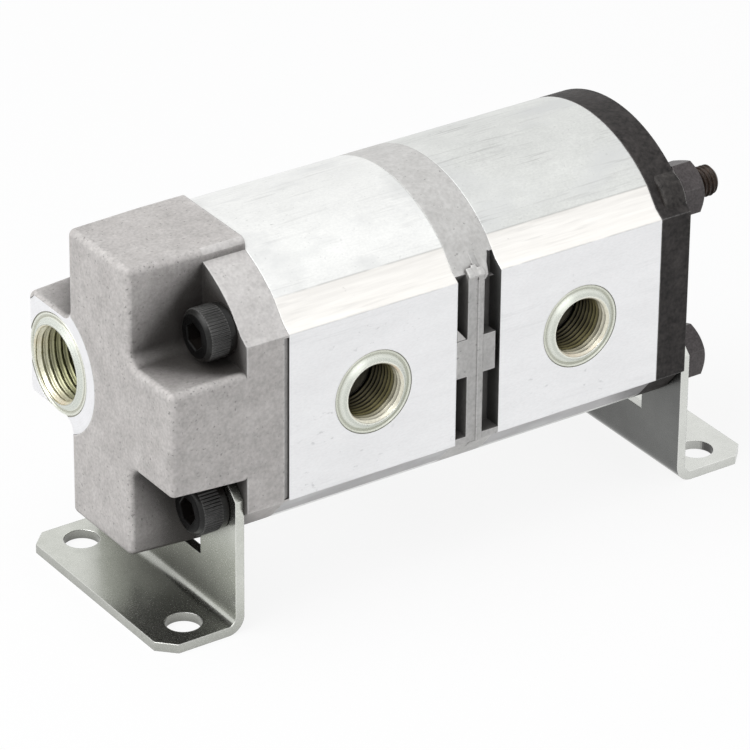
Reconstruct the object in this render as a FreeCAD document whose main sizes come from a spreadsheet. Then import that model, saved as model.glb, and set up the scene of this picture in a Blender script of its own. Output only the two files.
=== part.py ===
import FreeCAD, Part
import math
import os
import Sketcher
from FreeCAD import Rotation, Vector

# Rotary gear flow divider with two sections on foot brackets.
# The long axis lies along X, from the inlet cover to the rear cover, and the outlets face -Y.
# The origin is the centre of the four foot holes on the mounting plane.
# Each housing piece is drawn about the divider's axis, with its front face at x = 0.

doc = FreeCAD.newDocument("flow_divider")
sheet = doc.addObject("Spreadsheet::Sheet", "Sizes")

SIZES = [
    # Housing outline, the same on every piece of the stack
    ("axis_height", 55.5, "axis above the mounting plane"),
    ("housing_width", 66.5, "across the flat port faces"),
    ("pad_height", 44.7, "height of the flat port faces"),
    ("barrel_radius", 39.4, "rounded top and bottom"),
    ("crease_width", 53.2, "between the two creases where the round stops"),
    ("shoulder_run", 2.65, "shoulder, out to the port face"),
    ("shoulder_rise", 1.85, "shoulder, height"),
    # Stack along the axis
    ("section_length", 48.1, "one section body"),
    ("cover_length", 32.4, "inlet cover over all"),
    ("flange_thickness", 11.85, "inlet cover's flange"),
    ("middle_thickness", 12.7, "flange between the sections"),
    ("rear_thickness", 9.1, "rear cover"),
    # Cast cross of the inlet cover
    ("draft_angle", 2.5, "slope of the cast sides, degrees"),
    ("bar_width", 26.7, "upright bar at the end face"),
    ("bar_top", 39.7, "bar's flat top above the axis"),
    ("bar_bottom", 37.5, "bar's foot below the axis at the end face"),
    ("arm_top", 14.9, "arms' top above the axis at the end face"),
    ("arm_bottom", 12.8, "arms' underside below the axis at the end face"),
    ("root_round", 3.0, "inner corners of the cross"),
    ("edge_round", 1.8, "outer edges of the cross"),
    ("rim_round", 0.5, "rear cover's outer rim"),
    ("relief_width", 1.4, "groove beside the joint on the flat sides"),
    ("relief_depth", 1.5, "the same groove, depth"),
    ("relief_end", 0.6, "the same groove, short of the flat side's ends"),
    # Side pockets of the middle flange
    ("rib_start", 3.1, "rib from the front joint"),
    ("rib_width", 4.7, "rib"),
    ("web_top", 6.2, "web's top above the axis"),
    ("web_bottom", 4.0, "web's underside below the axis"),
    ("web_gap", 1.4, "gap beside the rear joint"),
    ("gap_top", 26.0, "gap's top above the axis"),
    ("pocket_top", 19.8, "pockets' top above the axis, on their floor"),
    ("pocket_nose", 1.1, "rear pocket's top below the flat side's upper end"),
    ("pocket_bottom", 20.6, "pockets' lower end below the axis"),
    ("pocket_depth", 4.8, "pockets, in from the flat side"),
    # Ports and the gallery that feeds both sections
    ("inlet_across", 19.4, "inlet and gallery beside the axis"),
    ("inlet_rise", 0.2, "inlet and gallery above the axis"),
    ("inlet_bore", 18.63, "G1/2 thread, inside diameter"),
    ("inlet_depth", 16.0, "G1/2 thread, depth"),
    ("inlet_ring", 26.4, "ring round the inlet"),
    ("inlet_spotface", 35.0, "machined face round the inlet"),
    ("spotface_depth", 0.4, "machined face below the cast face"),
    ("gallery_bore", 14.0, "gallery"),
    ("outlet_bore", 14.95, "G3/8 thread, inside diameter"),
    ("outlet_depth", 13.0, "G3/8 thread, depth"),
    ("outlet_ring", 22.0, "ring round each outlet"),
    ("outlet_passage", 11.0, "passage from the gears to the outlet"),
    ("ring_depth", 0.3, "port rings below the face"),
    ("collar_height", 0.85, "collar round each outlet's thread, above the face"),
    ("lip_width", 0.9, "collar's flat lip"),
    ("port_chamfer", 0.4, "countersink of the port threads"),
    ("window_height", 12.0, "window from the gallery to the gears"),
    # Gears
    ("gear_spacing", 26.0, "between the two shafts of a section"),
    ("tooth_count", 12, "teeth on each gear"),
    ("pressure_angle", 28.0, "working pressure angle, degrees"),
    ("tip_diameter", 29.6, "over the teeth"),
    ("root_clearance", 0.4, "tooth tip to the mating root"),
    ("backlash", 0.12, "play between flanks on the pitch circle"),
    ("gear_width", 16.0, "toothed length"),
    ("tip_clearance", 0.05, "tooth tip to the body's bore"),
    ("side_clearance", 0.04, "gear side to bush"),
    ("journal_diameter", 12.0, "shaft journals"),
    ("journal_clearance", 0.03, "journal in its sleeve"),
    ("journal_gap", 0.3, "journal end to the cover"),
    # Bushes, sleeves and their seals
    ("sleeve_wall", 1.0, "bearing sleeve"),
    ("press_clearance", 0.01, "sleeve in its bush, and dowel in its hole"),
    ("bush_clearance", 0.03, "bush in the body's bore"),
    ("bush_relief", 3.5, "pressure pocket on the gear side, in from the bush's waist"),
    ("relief_height", 6.5, "pressure pocket, height"),
    ("relief_floor", 1.0, "pressure pocket, depth"),
    ("bush_seal_radius", 12.6, "bush seal about each journal"),
    ("bush_seal_width", 2.0, "bush seal"),
    ("bush_seal_depth", 1.5, "bush seal"),
    ("seal_play", 0.08, "seals in their grooves"),
    # Coupling of the two drive gears
    ("tang_thickness", 6.0, "tang on the shaft end"),
    ("tang_length", 5.0, "tang"),
    ("tang_play", 0.1, "tang in its slot, each way"),
    ("coupling_diameter", 16.0, "coupling"),
    ("coupling_gap", 0.4, "coupling to the flange, all round"),
    # Joint seals and dowels
    ("seal_margin", 2.65, "joint seal's centre line outside the bores"),
    ("seal_width", 2.2, "joint seal"),
    ("seal_depth", 1.6, "joint seal"),
    ("dowel_diameter", 4.0, "dowel"),
    ("dowel_length", 8.0, "dowel, half in each piece"),
    ("dowel_end_gap", 0.4, "dowel's end to the floor of its hole"),
    ("dowel_across", 12.0, "dowels beside the axis"),
    ("dowel_up", 33.0, "dowels above or below the axis"),
    # Tie bolts and nuts
    ("bolt_across", 45.75, "tie bolts, spacing along Y"),
    ("bolt_up", 46.2, "tie bolts, spacing along Z"),
    ("bolt_diameter", 8.0, "M8"),
    ("bolt_length", 143.5, "under the head"),
    ("bolt_clearance", 0.3, "bolt in its holes, all round"),
    ("head_diameter", 13.3, "socket head"),
    ("head_height", 8.0, "socket head"),
    ("socket_flats", 6.0, "hexagon socket"),
    ("socket_depth", 4.0, "hexagon socket"),
    ("nut_flats", 13.0, "nut across its flats"),
    ("nut_height", 6.8, "nut"),
    ("nut_clearance", 0.05, "nut on the bolt's thread"),
    ("nut_turn", 22.0, "corner above the level, degrees"),
    ("end_chamfer", 0.8, "bolt ends and head rims"),
    # Foot brackets
    ("sheet_thickness", 2.4, "bracket sheet"),
    ("bracket_width", 63.5, "bracket"),
    ("upright_height", 41.2, "bracket's top above the mounting plane"),
    ("upright_corner", 5.0, "cut corners of the upright"),
    ("notch_width", 32.0, "notch that clears the casting"),
    ("notch_floor", 14.6, "notch floor above the mounting plane"),
    ("foot_length", 22.9, "foot from the upright's back"),
    ("foot_corner", 4.3, "cut corners of the foot"),
    ("foot_hole", 9.0, "foot holes"),
    ("foot_hole_setback", 9.75, "foot holes from the upright's outer face"),
    ("foot_hole_spacing", 47.1, "foot holes, spacing along Y"),
    ("bend_radius", 2.2, "inside of the bend"),
]

for row, (alias, number, meaning) in enumerate(SIZES, 1):
    sheet.set(f"A{row}", alias)
    sheet.set(f"B{row}", str(number))
    sheet.set(f"C{row}", meaning)
    sheet.setAlias(f"B{row}", alias)
doc.recompute()


def value(expression):
    return float(sheet.evalExpression(expression))


# Lengths that several pieces share, as expressions on the sheet
HALF_WIDTH = "Sizes.housing_width / 2"
HALF_PAD = "Sizes.pad_height / 2"
SHOULDER_OUT = "(Sizes.housing_width / 2 - Sizes.shoulder_run)"
SHOULDER_UP = "(Sizes.pad_height / 2 + Sizes.shoulder_rise)"
HALF_SPACING = "(Sizes.gear_spacing / 2)"
UPPER_SHAFT = f"(Sizes.axis_height + {HALF_SPACING})"
LOWER_SHAFT = f"(Sizes.axis_height - {HALF_SPACING})"
BORE = "(Sizes.tip_diameter / 2 + Sizes.tip_clearance)"
ROOT_RADIUS = "(Sizes.gear_spacing - Sizes.tip_diameter / 2 - Sizes.root_clearance)"
BUSH_RADIUS = f"({BORE} - Sizes.bush_clearance)"
BUSH_LENGTH = "((Sizes.section_length - Sizes.gear_width) / 2 - Sizes.side_clearance)"
JOURNAL = "(Sizes.journal_diameter / 2)"
SLEEVE_INSIDE = f"({JOURNAL} + Sizes.journal_clearance)"
SLEEVE_OUTSIDE = f"({SLEEVE_INSIDE} + Sizes.sleeve_wall)"
BOLT_HOLE = "(Sizes.bolt_diameter / 2 + Sizes.bolt_clearance)"
CLAMP_LENGTH = (
    "(Sizes.flange_thickness + 2 * Sizes.section_length"
    " + Sizes.middle_thickness + Sizes.rear_thickness)"
)

# Joint faces along X; the brackets' clamping faces lie evenly about the origin
FRONT_FACE = f"(-{CLAMP_LENGTH} / 2)"
JOINT_1 = f"({FRONT_FACE} + Sizes.flange_thickness)"
JOINT_2 = f"({JOINT_1} + Sizes.section_length)"
JOINT_3 = f"({JOINT_2} + Sizes.middle_thickness)"
JOINT_4 = f"({JOINT_3} + Sizes.section_length)"
REAR_FACE = f"({CLAMP_LENGTH} / 2)"
SECTION_STARTS = [JOINT_1, JOINT_3]


# Document helpers

def place(piece, along, across="0", up="Sizes.axis_height", turn=None):
    if turn:
        piece.Placement.Rotation = Rotation(*turn)
    piece.setExpression("Placement.Base.x", along)
    piece.setExpression("Placement.Base.y", across)
    piece.setExpression("Placement.Base.z", up)


def newBody(label):
    body = doc.addObject("PartDesign::Body", label)
    body.Label = label
    return body


def originFeature(body, role):
    return next(item for item in body.Origin.OriginFeatures if item.Role == role)


def newSketch(body, plane, away=None, offsets=None):
    sketch = body.newObject("Sketcher::SketchObject", "Sketch")
    sketch.AttachmentSupport = (originFeature(body, plane), [""])
    sketch.MapMode = "FlatFace"
    for axis, expression in {"z": away, **(offsets or {})}.items():
        if expression:
            sketch.setExpression(f"AttachmentOffset.Base.{axis}", expression)
    return sketch


def bind(sketch, constraint, expression):
    index = sketch.addConstraint(constraint)
    sketch.setExpression(f"Constraints[{index}]", expression)


def bindPoint(sketch, geometry, vertex, across=None, up=None):
    for kind, expression in (("DistanceX", across), ("DistanceY", up)):
        if expression is not None:
            number = value(expression)
            bind(sketch, Sketcher.Constraint(kind, -1, 1, geometry, vertex, number), expression)


def addCircle(sketch, across, up, radius):
    centre = Vector(value(across), value(up), 0)
    circle = sketch.addGeometry(Part.Circle(centre, Vector(0, 0, 1), value(radius)), False)
    bindPoint(sketch, circle, 3, across, up)
    bind(sketch, Sketcher.Constraint("Radius", circle, value(radius)), radius)


# A closed outline, drawn counter-clockwise through its corners. An arc (centre across,
# centre up, radius) may follow a corner; a corner on an arc is held by its place across.
def addOutline(sketch, corners, arcs=None):
    arcs = arcs or {}
    points = [Vector(value(across), value(up), 0) for across, up in corners]
    count = len(points)
    edges = []
    for index, start in enumerate(points):
        end = points[(index + 1) % count]
        if index in arcs:
            across, up, radius = arcs[index]
            centre = Vector(value(across), value(up), 0)
            angles = [math.atan2(p.y - centre.y, p.x - centre.x) for p in (start, end)]
            circle = Part.Circle(centre, Vector(0, 0, 1), value(radius))
            edges.append(sketch.addGeometry(Part.ArcOfCircle(circle, *angles), False))
            bindPoint(sketch, edges[-1], 3, across, up)
            bind(sketch, Sketcher.Constraint("Radius", edges[-1], value(radius)), radius)
        else:
            edges.append(sketch.addGeometry(Part.LineSegment(start, end), False))
    for index, (across, up) in enumerate(corners):
        before = (index - 1) % count
        sketch.addConstraint(Sketcher.Constraint("Coincident", edges[before], 2, edges[index], 1))
        on_arcs = (index in arcs) + (before in arcs)
        if on_arcs == 0:
            bindPoint(sketch, edges[index], 1, across, up)
        elif on_arcs == 1:
            bindPoint(sketch, edges[index], 1, across)


def addRectangle(sketch, left, right, bottom, top):
    addOutline(sketch, [(left, bottom), (right, bottom), (right, top), (left, top)])


def addHexagon(sketch, flats):
    corner = f"{flats} / sqrt(3)"
    addOutline(sketch, [(f"{corner} * cos({turn})", f"{corner} * sin({turn})")
                        for turn in range(0, 360, 60)])


def addFeature(body, kind, sketch, length=None, backwards=False, symmetric=False):
    before = body.Shape.Volume if body.Shape.Solids else 0.0
    feature = body.newObject(f"PartDesign::{kind}", kind)
    feature.Profile = sketch
    feature.Reversed = backwards
    if length is None:
        feature.Type = "ThroughAll"
    else:
        feature.setExpression("Length", length)
    if symmetric:
        feature.SideType = "Symmetric"
    doc.recompute()
    if abs(body.Shape.Volume - before) < 1e-3:
        raise RuntimeError(f"{body.Label}: {feature.Name} changed nothing")
    return feature


def pad(body, sketch, length, backwards=False, symmetric=False):
    return addFeature(body, "Pad", sketch, length, backwards, symmetric)


# A cast pad that grows wider by the draft angle on every side
def castPad(body, sketch, length):
    feature = pad(body, sketch, length)
    feature.setExpression("TaperAngle", "Sizes.draft_angle")
    doc.recompute()
    return feature


# A pocket is cut against the sketch's normal, or along it when forwards is set
def pocket(body, sketch, length=None, forwards=False, symmetric=False):
    return addFeature(body, "Pocket", sketch, length, forwards, symmetric)


# A Groove cuts the turned outline away, and a Revolution adds it
def turnOutline(body, kind, sketch, axis):
    before = body.Shape.Volume
    feature = body.newObject(f"PartDesign::{kind}", kind)
    feature.Profile = sketch
    feature.ReferenceAxis = (sketch, [axis])
    feature.Angle = 360
    doc.recompute()
    if abs(body.Shape.Volume - before) < 1e-3:
        raise RuntimeError(f"{body.Label}: {feature.Name} changed nothing")
    return feature


def dress(body, kind, size, test):
    base = body.Tip
    names = [f"Edge{index}" for index, edge in enumerate(base.Shape.Edges, 1) if test(edge)]
    feature = body.newObject(f"PartDesign::{kind}", kind)
    feature.Base = (base, names)
    feature.setExpression("Radius" if kind == "Fillet" else "Size", size)
    doc.recompute()
    if not names or "Invalid" in feature.State:
        raise RuntimeError(f"{body.Label}: {feature.Name} on {len(names)} edges failed")
    return feature


def near(first, second):
    return abs(first - second) < 1e-4


# True for an edge that lies along the axis (x, y or z) through the given places
def runsAlong(edge, axis, **places):
    box = edge.BoundBox
    low = {"x": box.XMin, "y": box.YMin, "z": box.ZMin}
    high = {"x": box.XMax, "y": box.YMax, "z": box.ZMax}
    if edge.Curve.TypeId != "Part::GeomLine" or near(low[axis], high[axis]):
        return False
    return all(near(low[key], place) and near(high[key], place) for key, place in places.items())


# Several copies of one piece in one node
def group(label, piece, places):
    members = [piece] + [doc.addObject("App::Link", f"{label}_copy") for _ in places[1:]]
    for member, where in zip(members, places):
        if member is not piece:
            member.LinkedObject = piece
        place(member, **where)
    compound = doc.addObject("Part::Compound", label)
    compound.Label = label
    compound.Links = members
    return compound


# Outlines that several pieces share

# Housing outline: flat port faces at the sides, shoulders, and a round top and bottom
def addHousing(sketch):
    crease_out = "Sizes.crease_width / 2"
    crease_up = "sqrt(Sizes.barrel_radius ^ 2 - (Sizes.crease_width / 2) ^ 2)"
    corners = [(HALF_WIDTH, HALF_PAD), (SHOULDER_OUT, SHOULDER_UP), (crease_out, crease_up)]
    corners += [(f"-({across})", up) for across, up in reversed(corners)]
    corners += [(f"-({across})", f"-({up})") for across, up in corners]
    barrel = ("0", "0", "Sizes.barrel_radius")
    addOutline(sketch, corners, {2: barrel, 8: barrel})


# Two bores that run into each other, one for each gear
def addTwinBore(sketch, radius):
    waist = f"sqrt(({radius}) ^ 2 - {HALF_SPACING} ^ 2)"
    arcs = {0: ("0", HALF_SPACING, radius), 1: ("0", f"-{HALF_SPACING}", radius)}
    addOutline(sketch, [(waist, "0"), (f"-{waist}", "0")], arcs)


# A belt round both gear bores and the gallery, a given margin outside them
def addBelt(sketch, margin):
    gear_radius = f"{BORE} + {margin}"
    circles = [
        ("Sizes.inlet_across", "Sizes.inlet_rise", f"Sizes.gallery_bore / 2 + {margin}"),
        ("0", HALF_SPACING, gear_radius),
        ("0", f"-{HALF_SPACING}", gear_radius),
    ]
    centres = [Vector(value(across), value(up), 0) for across, up, _ in circles]
    radii = [value(radius) for _, _, radius in circles]
    outward = []
    for index in range(3):
        span = centres[(index + 1) % 3] - centres[index]
        share = (radii[index] - radii[(index + 1) % 3]) / span.Length
        direction = span / span.Length
        right = Vector(direction.y, -direction.x, 0)
        outward.append(direction * share + right * math.sqrt(1 - share ** 2))
    angles = [math.atan2(normal.y, normal.x) for normal in outward]
    arcs = []
    for index, (across, up, radius) in enumerate(circles):
        circle = Part.Circle(centres[index], Vector(0, 0, 1), radii[index])
        arc = Part.ArcOfCircle(circle, angles[index - 1], angles[index])
        arcs.append(sketch.addGeometry(arc, False))
        bindPoint(sketch, arcs[-1], 3, across, up)
        bind(sketch, Sketcher.Constraint("Radius", arcs[-1], radii[index]), radius)
    for index in range(3):
        after = (index + 1) % 3
        start = centres[index] + outward[index] * radii[index]
        end = centres[after] + outward[index] * radii[after]
        line = sketch.addGeometry(Part.LineSegment(start, end), False)
        sketch.addConstraint(Sketcher.Constraint("Tangent", arcs[index], 2, line, 1))
        sketch.addConstraint(Sketcher.Constraint("Tangent", line, 2, arcs[after], 1))


def addSealBand(sketch, play="0"):
    addBelt(sketch, f"(Sizes.seal_margin - Sizes.seal_width / 2 - {play})")
    addBelt(sketch, f"(Sizes.seal_margin + Sizes.seal_width / 2 + {play})")


# Half ring round one journal, on the outlet side
def addHalfRing(sketch, up, play="0"):
    outside = f"(Sizes.bush_seal_radius + Sizes.bush_seal_width / 2 + {play})"
    inside = f"(Sizes.bush_seal_radius - Sizes.bush_seal_width / 2 - {play})"
    edges = []
    for radius in (outside, inside):
        circle = Part.Circle(Vector(0, value(up), 0), Vector(0, 0, 1), value(radius))
        arc = Part.ArcOfCircle(circle, math.pi / 2, 3 * math.pi / 2)
        edges.append(sketch.addGeometry(arc, False))
        bindPoint(sketch, edges[-1], 3, "0", up)
        bind(sketch, Sketcher.Constraint("Radius", edges[-1], value(radius)), radius)
        bindPoint(sketch, edges[-1], 1, play)
        bindPoint(sketch, edges[-1], 2, play)
    for vertex in (1, 2):
        ends = [sketch.getPoint(edge, vertex) for edge in edges]
        cap = sketch.addGeometry(Part.LineSegment(*ends), False)
        sketch.addConstraint(Sketcher.Constraint("Coincident", edges[0], vertex, cap, 1))
        sketch.addConstraint(Sketcher.Constraint("Coincident", edges[1], vertex, cap, 2))


# What every joint face has: holes for the two dowels
def cutDowelHoles(body, away, forwards):
    sketch = newSketch(body, "YZ_Plane", away)
    for sign in ("", "-"):
        radius = "Sizes.dowel_diameter / 2 + Sizes.press_clearance"
        addCircle(sketch, f"{sign}Sizes.dowel_across", f"{sign}Sizes.dowel_up", radius)
    pocket(body, sketch, "Sizes.dowel_length / 2 + Sizes.dowel_end_gap", forwards)


def cutSealGroove(body, away, forwards):
    sketch = newSketch(body, "YZ_Plane", away)
    addSealBand(sketch, "Sizes.seal_play")
    pocket(body, sketch, "Sizes.seal_depth", forwards)


def cutBoltHoles(body):
    sketch = newSketch(body, "YZ_Plane")
    for side in ("-", ""):
        for level in ("-", ""):
            addCircle(sketch, f"{side}Sizes.bolt_across / 2", f"{level}Sizes.bolt_up / 2", BOLT_HOLE)
    pocket(body, sketch, symmetric=True)


# Housing pieces

def makeSectionBody(label, along):
    body = newBody(label)
    outline = newSketch(body, "YZ_Plane")
    addHousing(outline)
    pad(body, outline, "Sizes.section_length")

    chamber = newSketch(body, "YZ_Plane")
    addTwinBore(chamber, BORE)
    pocket(body, chamber, forwards=True)

    gallery = newSketch(body, "YZ_Plane")
    addCircle(gallery, "Sizes.inlet_across", "Sizes.inlet_rise", "Sizes.gallery_bore / 2")
    pocket(body, gallery, forwards=True)

    # Window over the gears' width, from the gallery to where the teeth meet
    window = newSketch(body, "YZ_Plane", "(Sizes.section_length - Sizes.gear_width) / 2")
    half = "Sizes.window_height / 2"
    addRectangle(window, "0", "Sizes.inlet_across", f"-{half}", half)
    pocket(body, window, "Sizes.gear_width", forwards=True)

    # Outlet: ring, thread bore and the passage to the gears in one cut
    outlet = newSketch(body, "XY_Plane", offsets={"x": "Sizes.section_length / 2"})
    face = f"-({HALF_WIDTH})"
    ring = "Sizes.outlet_ring / 2"
    ring_floor = f"({face} + Sizes.ring_depth)"
    thread_end = f"({face} + Sizes.outlet_depth)"
    bore = "Sizes.outlet_bore / 2"
    passage = "Sizes.outlet_passage / 2"
    addOutline(outlet, [
        ("0", face),
        (ring, face),
        (ring, ring_floor),
        (bore, ring_floor),
        (bore, thread_end),
        (passage, f"{thread_end} + {bore} - {passage}"),
        (passage, "0"),
        ("0", "0"),
    ])
    turnOutline(body, "Groove", outlet, "V_Axis")

    # Its collar rises from the ring as a cone to a flat lip, countersunk for the thread
    top = f"({face} - Sizes.collar_height)"
    lip = f"({bore} + Sizes.lip_width)"
    collar = newSketch(body, "XY_Plane", offsets={"x": "Sizes.section_length / 2"})
    addOutline(collar, [
        (bore, ring_floor),
        (bore, f"{top} + Sizes.port_chamfer"),
        (f"{bore} + Sizes.port_chamfer", top),
        (lip, top),
        (f"{lip} + 0.6 * ({ring} - {lip})", ring_floor),
    ])
    turnOutline(body, "Revolution", collar, "V_Axis")

    cutBoltHoles(body)
    cutDowelHoles(body, None, forwards=True)
    cutDowelHoles(body, "Sizes.section_length", forwards=False)
    place(body, along)
    return body


def makeInletCover():
    body = newBody("inlet_cover")

    # Arms and upright bar grow from the end face to the flange with the casting's draft
    reach = "(Sizes.cover_length - Sizes.flange_thickness)"
    half_bar = "(Sizes.bar_width / 2)"
    arm_end = f"({HALF_WIDTH} - {reach} * tan(Sizes.draft_angle))"
    arms = newSketch(body, "YZ_Plane", "-Sizes.cover_length")
    addRectangle(arms, f"-{arm_end}", arm_end, "-Sizes.arm_bottom", "Sizes.arm_top")
    castPad(body, arms, reach)
    bar = newSketch(body, "YZ_Plane", "-Sizes.cover_length")
    addRectangle(bar, f"-{half_bar}", half_bar, "-Sizes.bar_bottom", "Sizes.bar_top")
    castPad(body, bar, reach)

    # Inner corners of the cross
    end_face = -value("Sizes.cover_length")
    levels = [value("Sizes.arm_top"), -value("Sizes.arm_bottom")]

    def startsAt(edge, corners):
        start = min((vertex.Point for vertex in edge.Vertexes), key=lambda point: point.x)
        runs = edge.BoundBox.XLength > 1 and near(start.x, end_face)
        return runs and any(near(abs(start.y), y) and near(start.z, z) for y, z in corners)

    inner = [(value(half_bar), level) for level in levels]
    dress(body, "Fillet", "Sizes.root_round", lambda edge: startsAt(edge, inner))

    # The bar's top runs on to the joint and is machined flat
    wide_bar = f"({half_bar} + {reach} * tan(Sizes.draft_angle))"
    crown = newSketch(body, "YZ_Plane")
    addRectangle(crown, f"-{wide_bar}", wide_bar, "0", "Sizes.bar_top")
    pad(body, crown, "Sizes.flange_thickness", backwards=True)
    flat = newSketch(body, "XZ_Plane")
    addRectangle(flat, "-2 * Sizes.cover_length", "Sizes.cover_length",
                 "Sizes.bar_top", "2 * Sizes.bar_top")
    pocket(body, flat, symmetric=True)

    # Outer edges, before the flange closes the back of the cross
    ends = [value("Sizes.bar_top"), -value("Sizes.bar_bottom")]
    outer = [(value(half_bar), level) for level in ends]
    outer += [(value(arm_end), level) for level in levels]
    crown_side = value(wide_bar)
    dress(body, "Fillet", "Sizes.edge_round", lambda edge: (
        startsAt(edge, outer)
        or any(runsAlong(edge, "x", y=side * crown_side, z=ends[0]) for side in (1, -1))
        or near(edge.BoundBox.XMax, end_face)))
    outline = newSketch(body, "YZ_Plane")
    addHousing(outline)
    pad(body, outline, "Sizes.flange_thickness", backwards=True)

    # Groove beside the joint on both flat sides
    relief = newSketch(body, "XY_Plane")
    for side in ("", "-"):
        inner = f"{side}({HALF_WIDTH} - Sizes.relief_depth)"
        outer = f"{side}({HALF_WIDTH} + Sizes.relief_depth)"
        low, high = (inner, outer) if side == "" else (outer, inner)
        addRectangle(relief, "-Sizes.relief_width", "0", low, high)
    pocket(body, relief, "2 * (Sizes.pad_height / 2 - Sizes.relief_end)", symmetric=True)

    # Machined face round the inlet, then the port and its way into the gallery
    spotface = newSketch(body, "YZ_Plane", "-Sizes.cover_length")
    addCircle(spotface, "Sizes.inlet_across", "Sizes.inlet_rise", "Sizes.inlet_spotface / 2")
    pocket(body, spotface, "Sizes.spotface_depth", forwards=True)

    inlet = newSketch(body, "XY_Plane", "Sizes.inlet_rise", {"y": "Sizes.inlet_across"})
    face = "(Sizes.spotface_depth - Sizes.cover_length)"
    ring_floor = f"({face} + Sizes.ring_depth)"
    thread_end = f"({face} + Sizes.inlet_depth)"
    bore = "Sizes.inlet_bore / 2"
    gallery = "Sizes.gallery_bore / 2"
    addOutline(inlet, [
        (face, "0"),
        ("0", "0"),
        ("0", gallery),
        (f"{thread_end} + {bore} - {gallery}", gallery),
        (thread_end, bore),
        (f"{ring_floor} + Sizes.port_chamfer", bore),
        (ring_floor, f"{bore} + Sizes.port_chamfer"),
        (ring_floor, "Sizes.inlet_ring / 2"),
        (face, "Sizes.inlet_ring / 2"),
    ])
    turnOutline(body, "Groove", inlet, "H_Axis")

    cutBoltHoles(body)
    cutDowelHoles(body, None, forwards=False)
    cutSealGroove(body, None, forwards=False)
    place(body, JOINT_1)
    return body


def makeMiddleFlange():
    body = newBody("middle_flange")
    outline = newSketch(body, "YZ_Plane")
    addHousing(outline)
    pad(body, outline, "Sizes.middle_thickness")

    # Pockets either side of the rib, mirrored to the other flat side. The roofs of the upper
    # ones slope down to their floor, from the shoulder in front of the rib and from the flat
    # side behind it.
    rib_end = "(Sizes.rib_start + Sizes.rib_width)"
    gap_start = "(Sizes.middle_thickness - Sizes.web_gap)"
    floor = f"-({HALF_WIDTH} - Sizes.pocket_depth)"
    outside = f"-({HALF_WIDTH} + Sizes.pocket_depth)"
    front_roof = (f"-({HALF_WIDTH} - Sizes.shoulder_run / 2)", f"({HALF_PAD} + Sizes.shoulder_rise / 2)")
    rear_roof = (f"-({HALF_WIDTH})", f"({HALF_PAD} - Sizes.pocket_nose)")
    cuts = []
    for away, length, roof in ((None, "Sizes.rib_start", front_roof),
                               (rib_end, f"{gap_start} - {rib_end}", rear_roof)):
        upper = newSketch(body, "YZ_Plane", away)
        addOutline(upper, [
            (outside, "Sizes.web_top"),
            (floor, "Sizes.web_top"),
            (floor, "Sizes.pocket_top"),
            roof,
            (outside, roof[1]),
        ])
        cuts.append(pocket(body, upper, length, forwards=True))
    lower = newSketch(body, "XZ_Plane", HALF_WIDTH)
    addRectangle(lower, "0", "Sizes.rib_start", "-Sizes.pocket_bottom", "-Sizes.web_bottom")
    addOutline(lower, [
        (rib_end, "-Sizes.pocket_bottom"),
        ("Sizes.middle_thickness", "-Sizes.pocket_bottom"),
        ("Sizes.middle_thickness", "Sizes.gap_top"),
        (gap_start, "Sizes.gap_top"),
        (gap_start, "-Sizes.web_bottom"),
        (rib_end, "-Sizes.web_bottom"),
    ])
    cuts.append(pocket(body, lower, "Sizes.pocket_depth"))
    mirrored = body.newObject("PartDesign::Mirrored", "Mirrored")
    mirrored.Originals = cuts
    mirrored.MirrorPlane = (originFeature(body, "XZ_Plane"), [""])
    body.Tip = mirrored
    doc.recompute()

    bores = newSketch(body, "YZ_Plane")
    addCircle(bores, "Sizes.inlet_across", "Sizes.inlet_rise", "Sizes.gallery_bore / 2")
    coupling_bore = "Sizes.coupling_diameter / 2 + Sizes.coupling_gap"
    addCircle(bores, "0", HALF_SPACING, coupling_bore)
    pocket(body, bores, forwards=True)

    cutBoltHoles(body)
    for away, forwards in ((None, True), ("Sizes.middle_thickness", False)):
        cutDowelHoles(body, away, forwards)
        cutSealGroove(body, away, forwards)
    place(body, JOINT_2)
    return body


def makeRearCover():
    body = newBody("rear_cover")
    outline = newSketch(body, "YZ_Plane")
    addHousing(outline)
    pad(body, outline, "Sizes.rear_thickness")
    back = value("Sizes.rear_thickness")
    dress(body, "Fillet", "Sizes.rim_round", lambda edge: (
        near(edge.BoundBox.XMin, back) and near(edge.BoundBox.XMax, back)))
    cutBoltHoles(body)
    cutDowelHoles(body, None, forwards=True)
    cutSealGroove(body, None, forwards=True)
    place(body, JOINT_4)
    return body


def makeJointSeal(label, along):
    body = newBody(label)
    sketch = newSketch(body, "YZ_Plane")
    addSealBand(sketch)
    pad(body, sketch, "Sizes.seal_depth", backwards=True)
    place(body, along)
    return body


# Bush blocks, their sleeves and seals; the outer face of each is at x = 0

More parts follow.
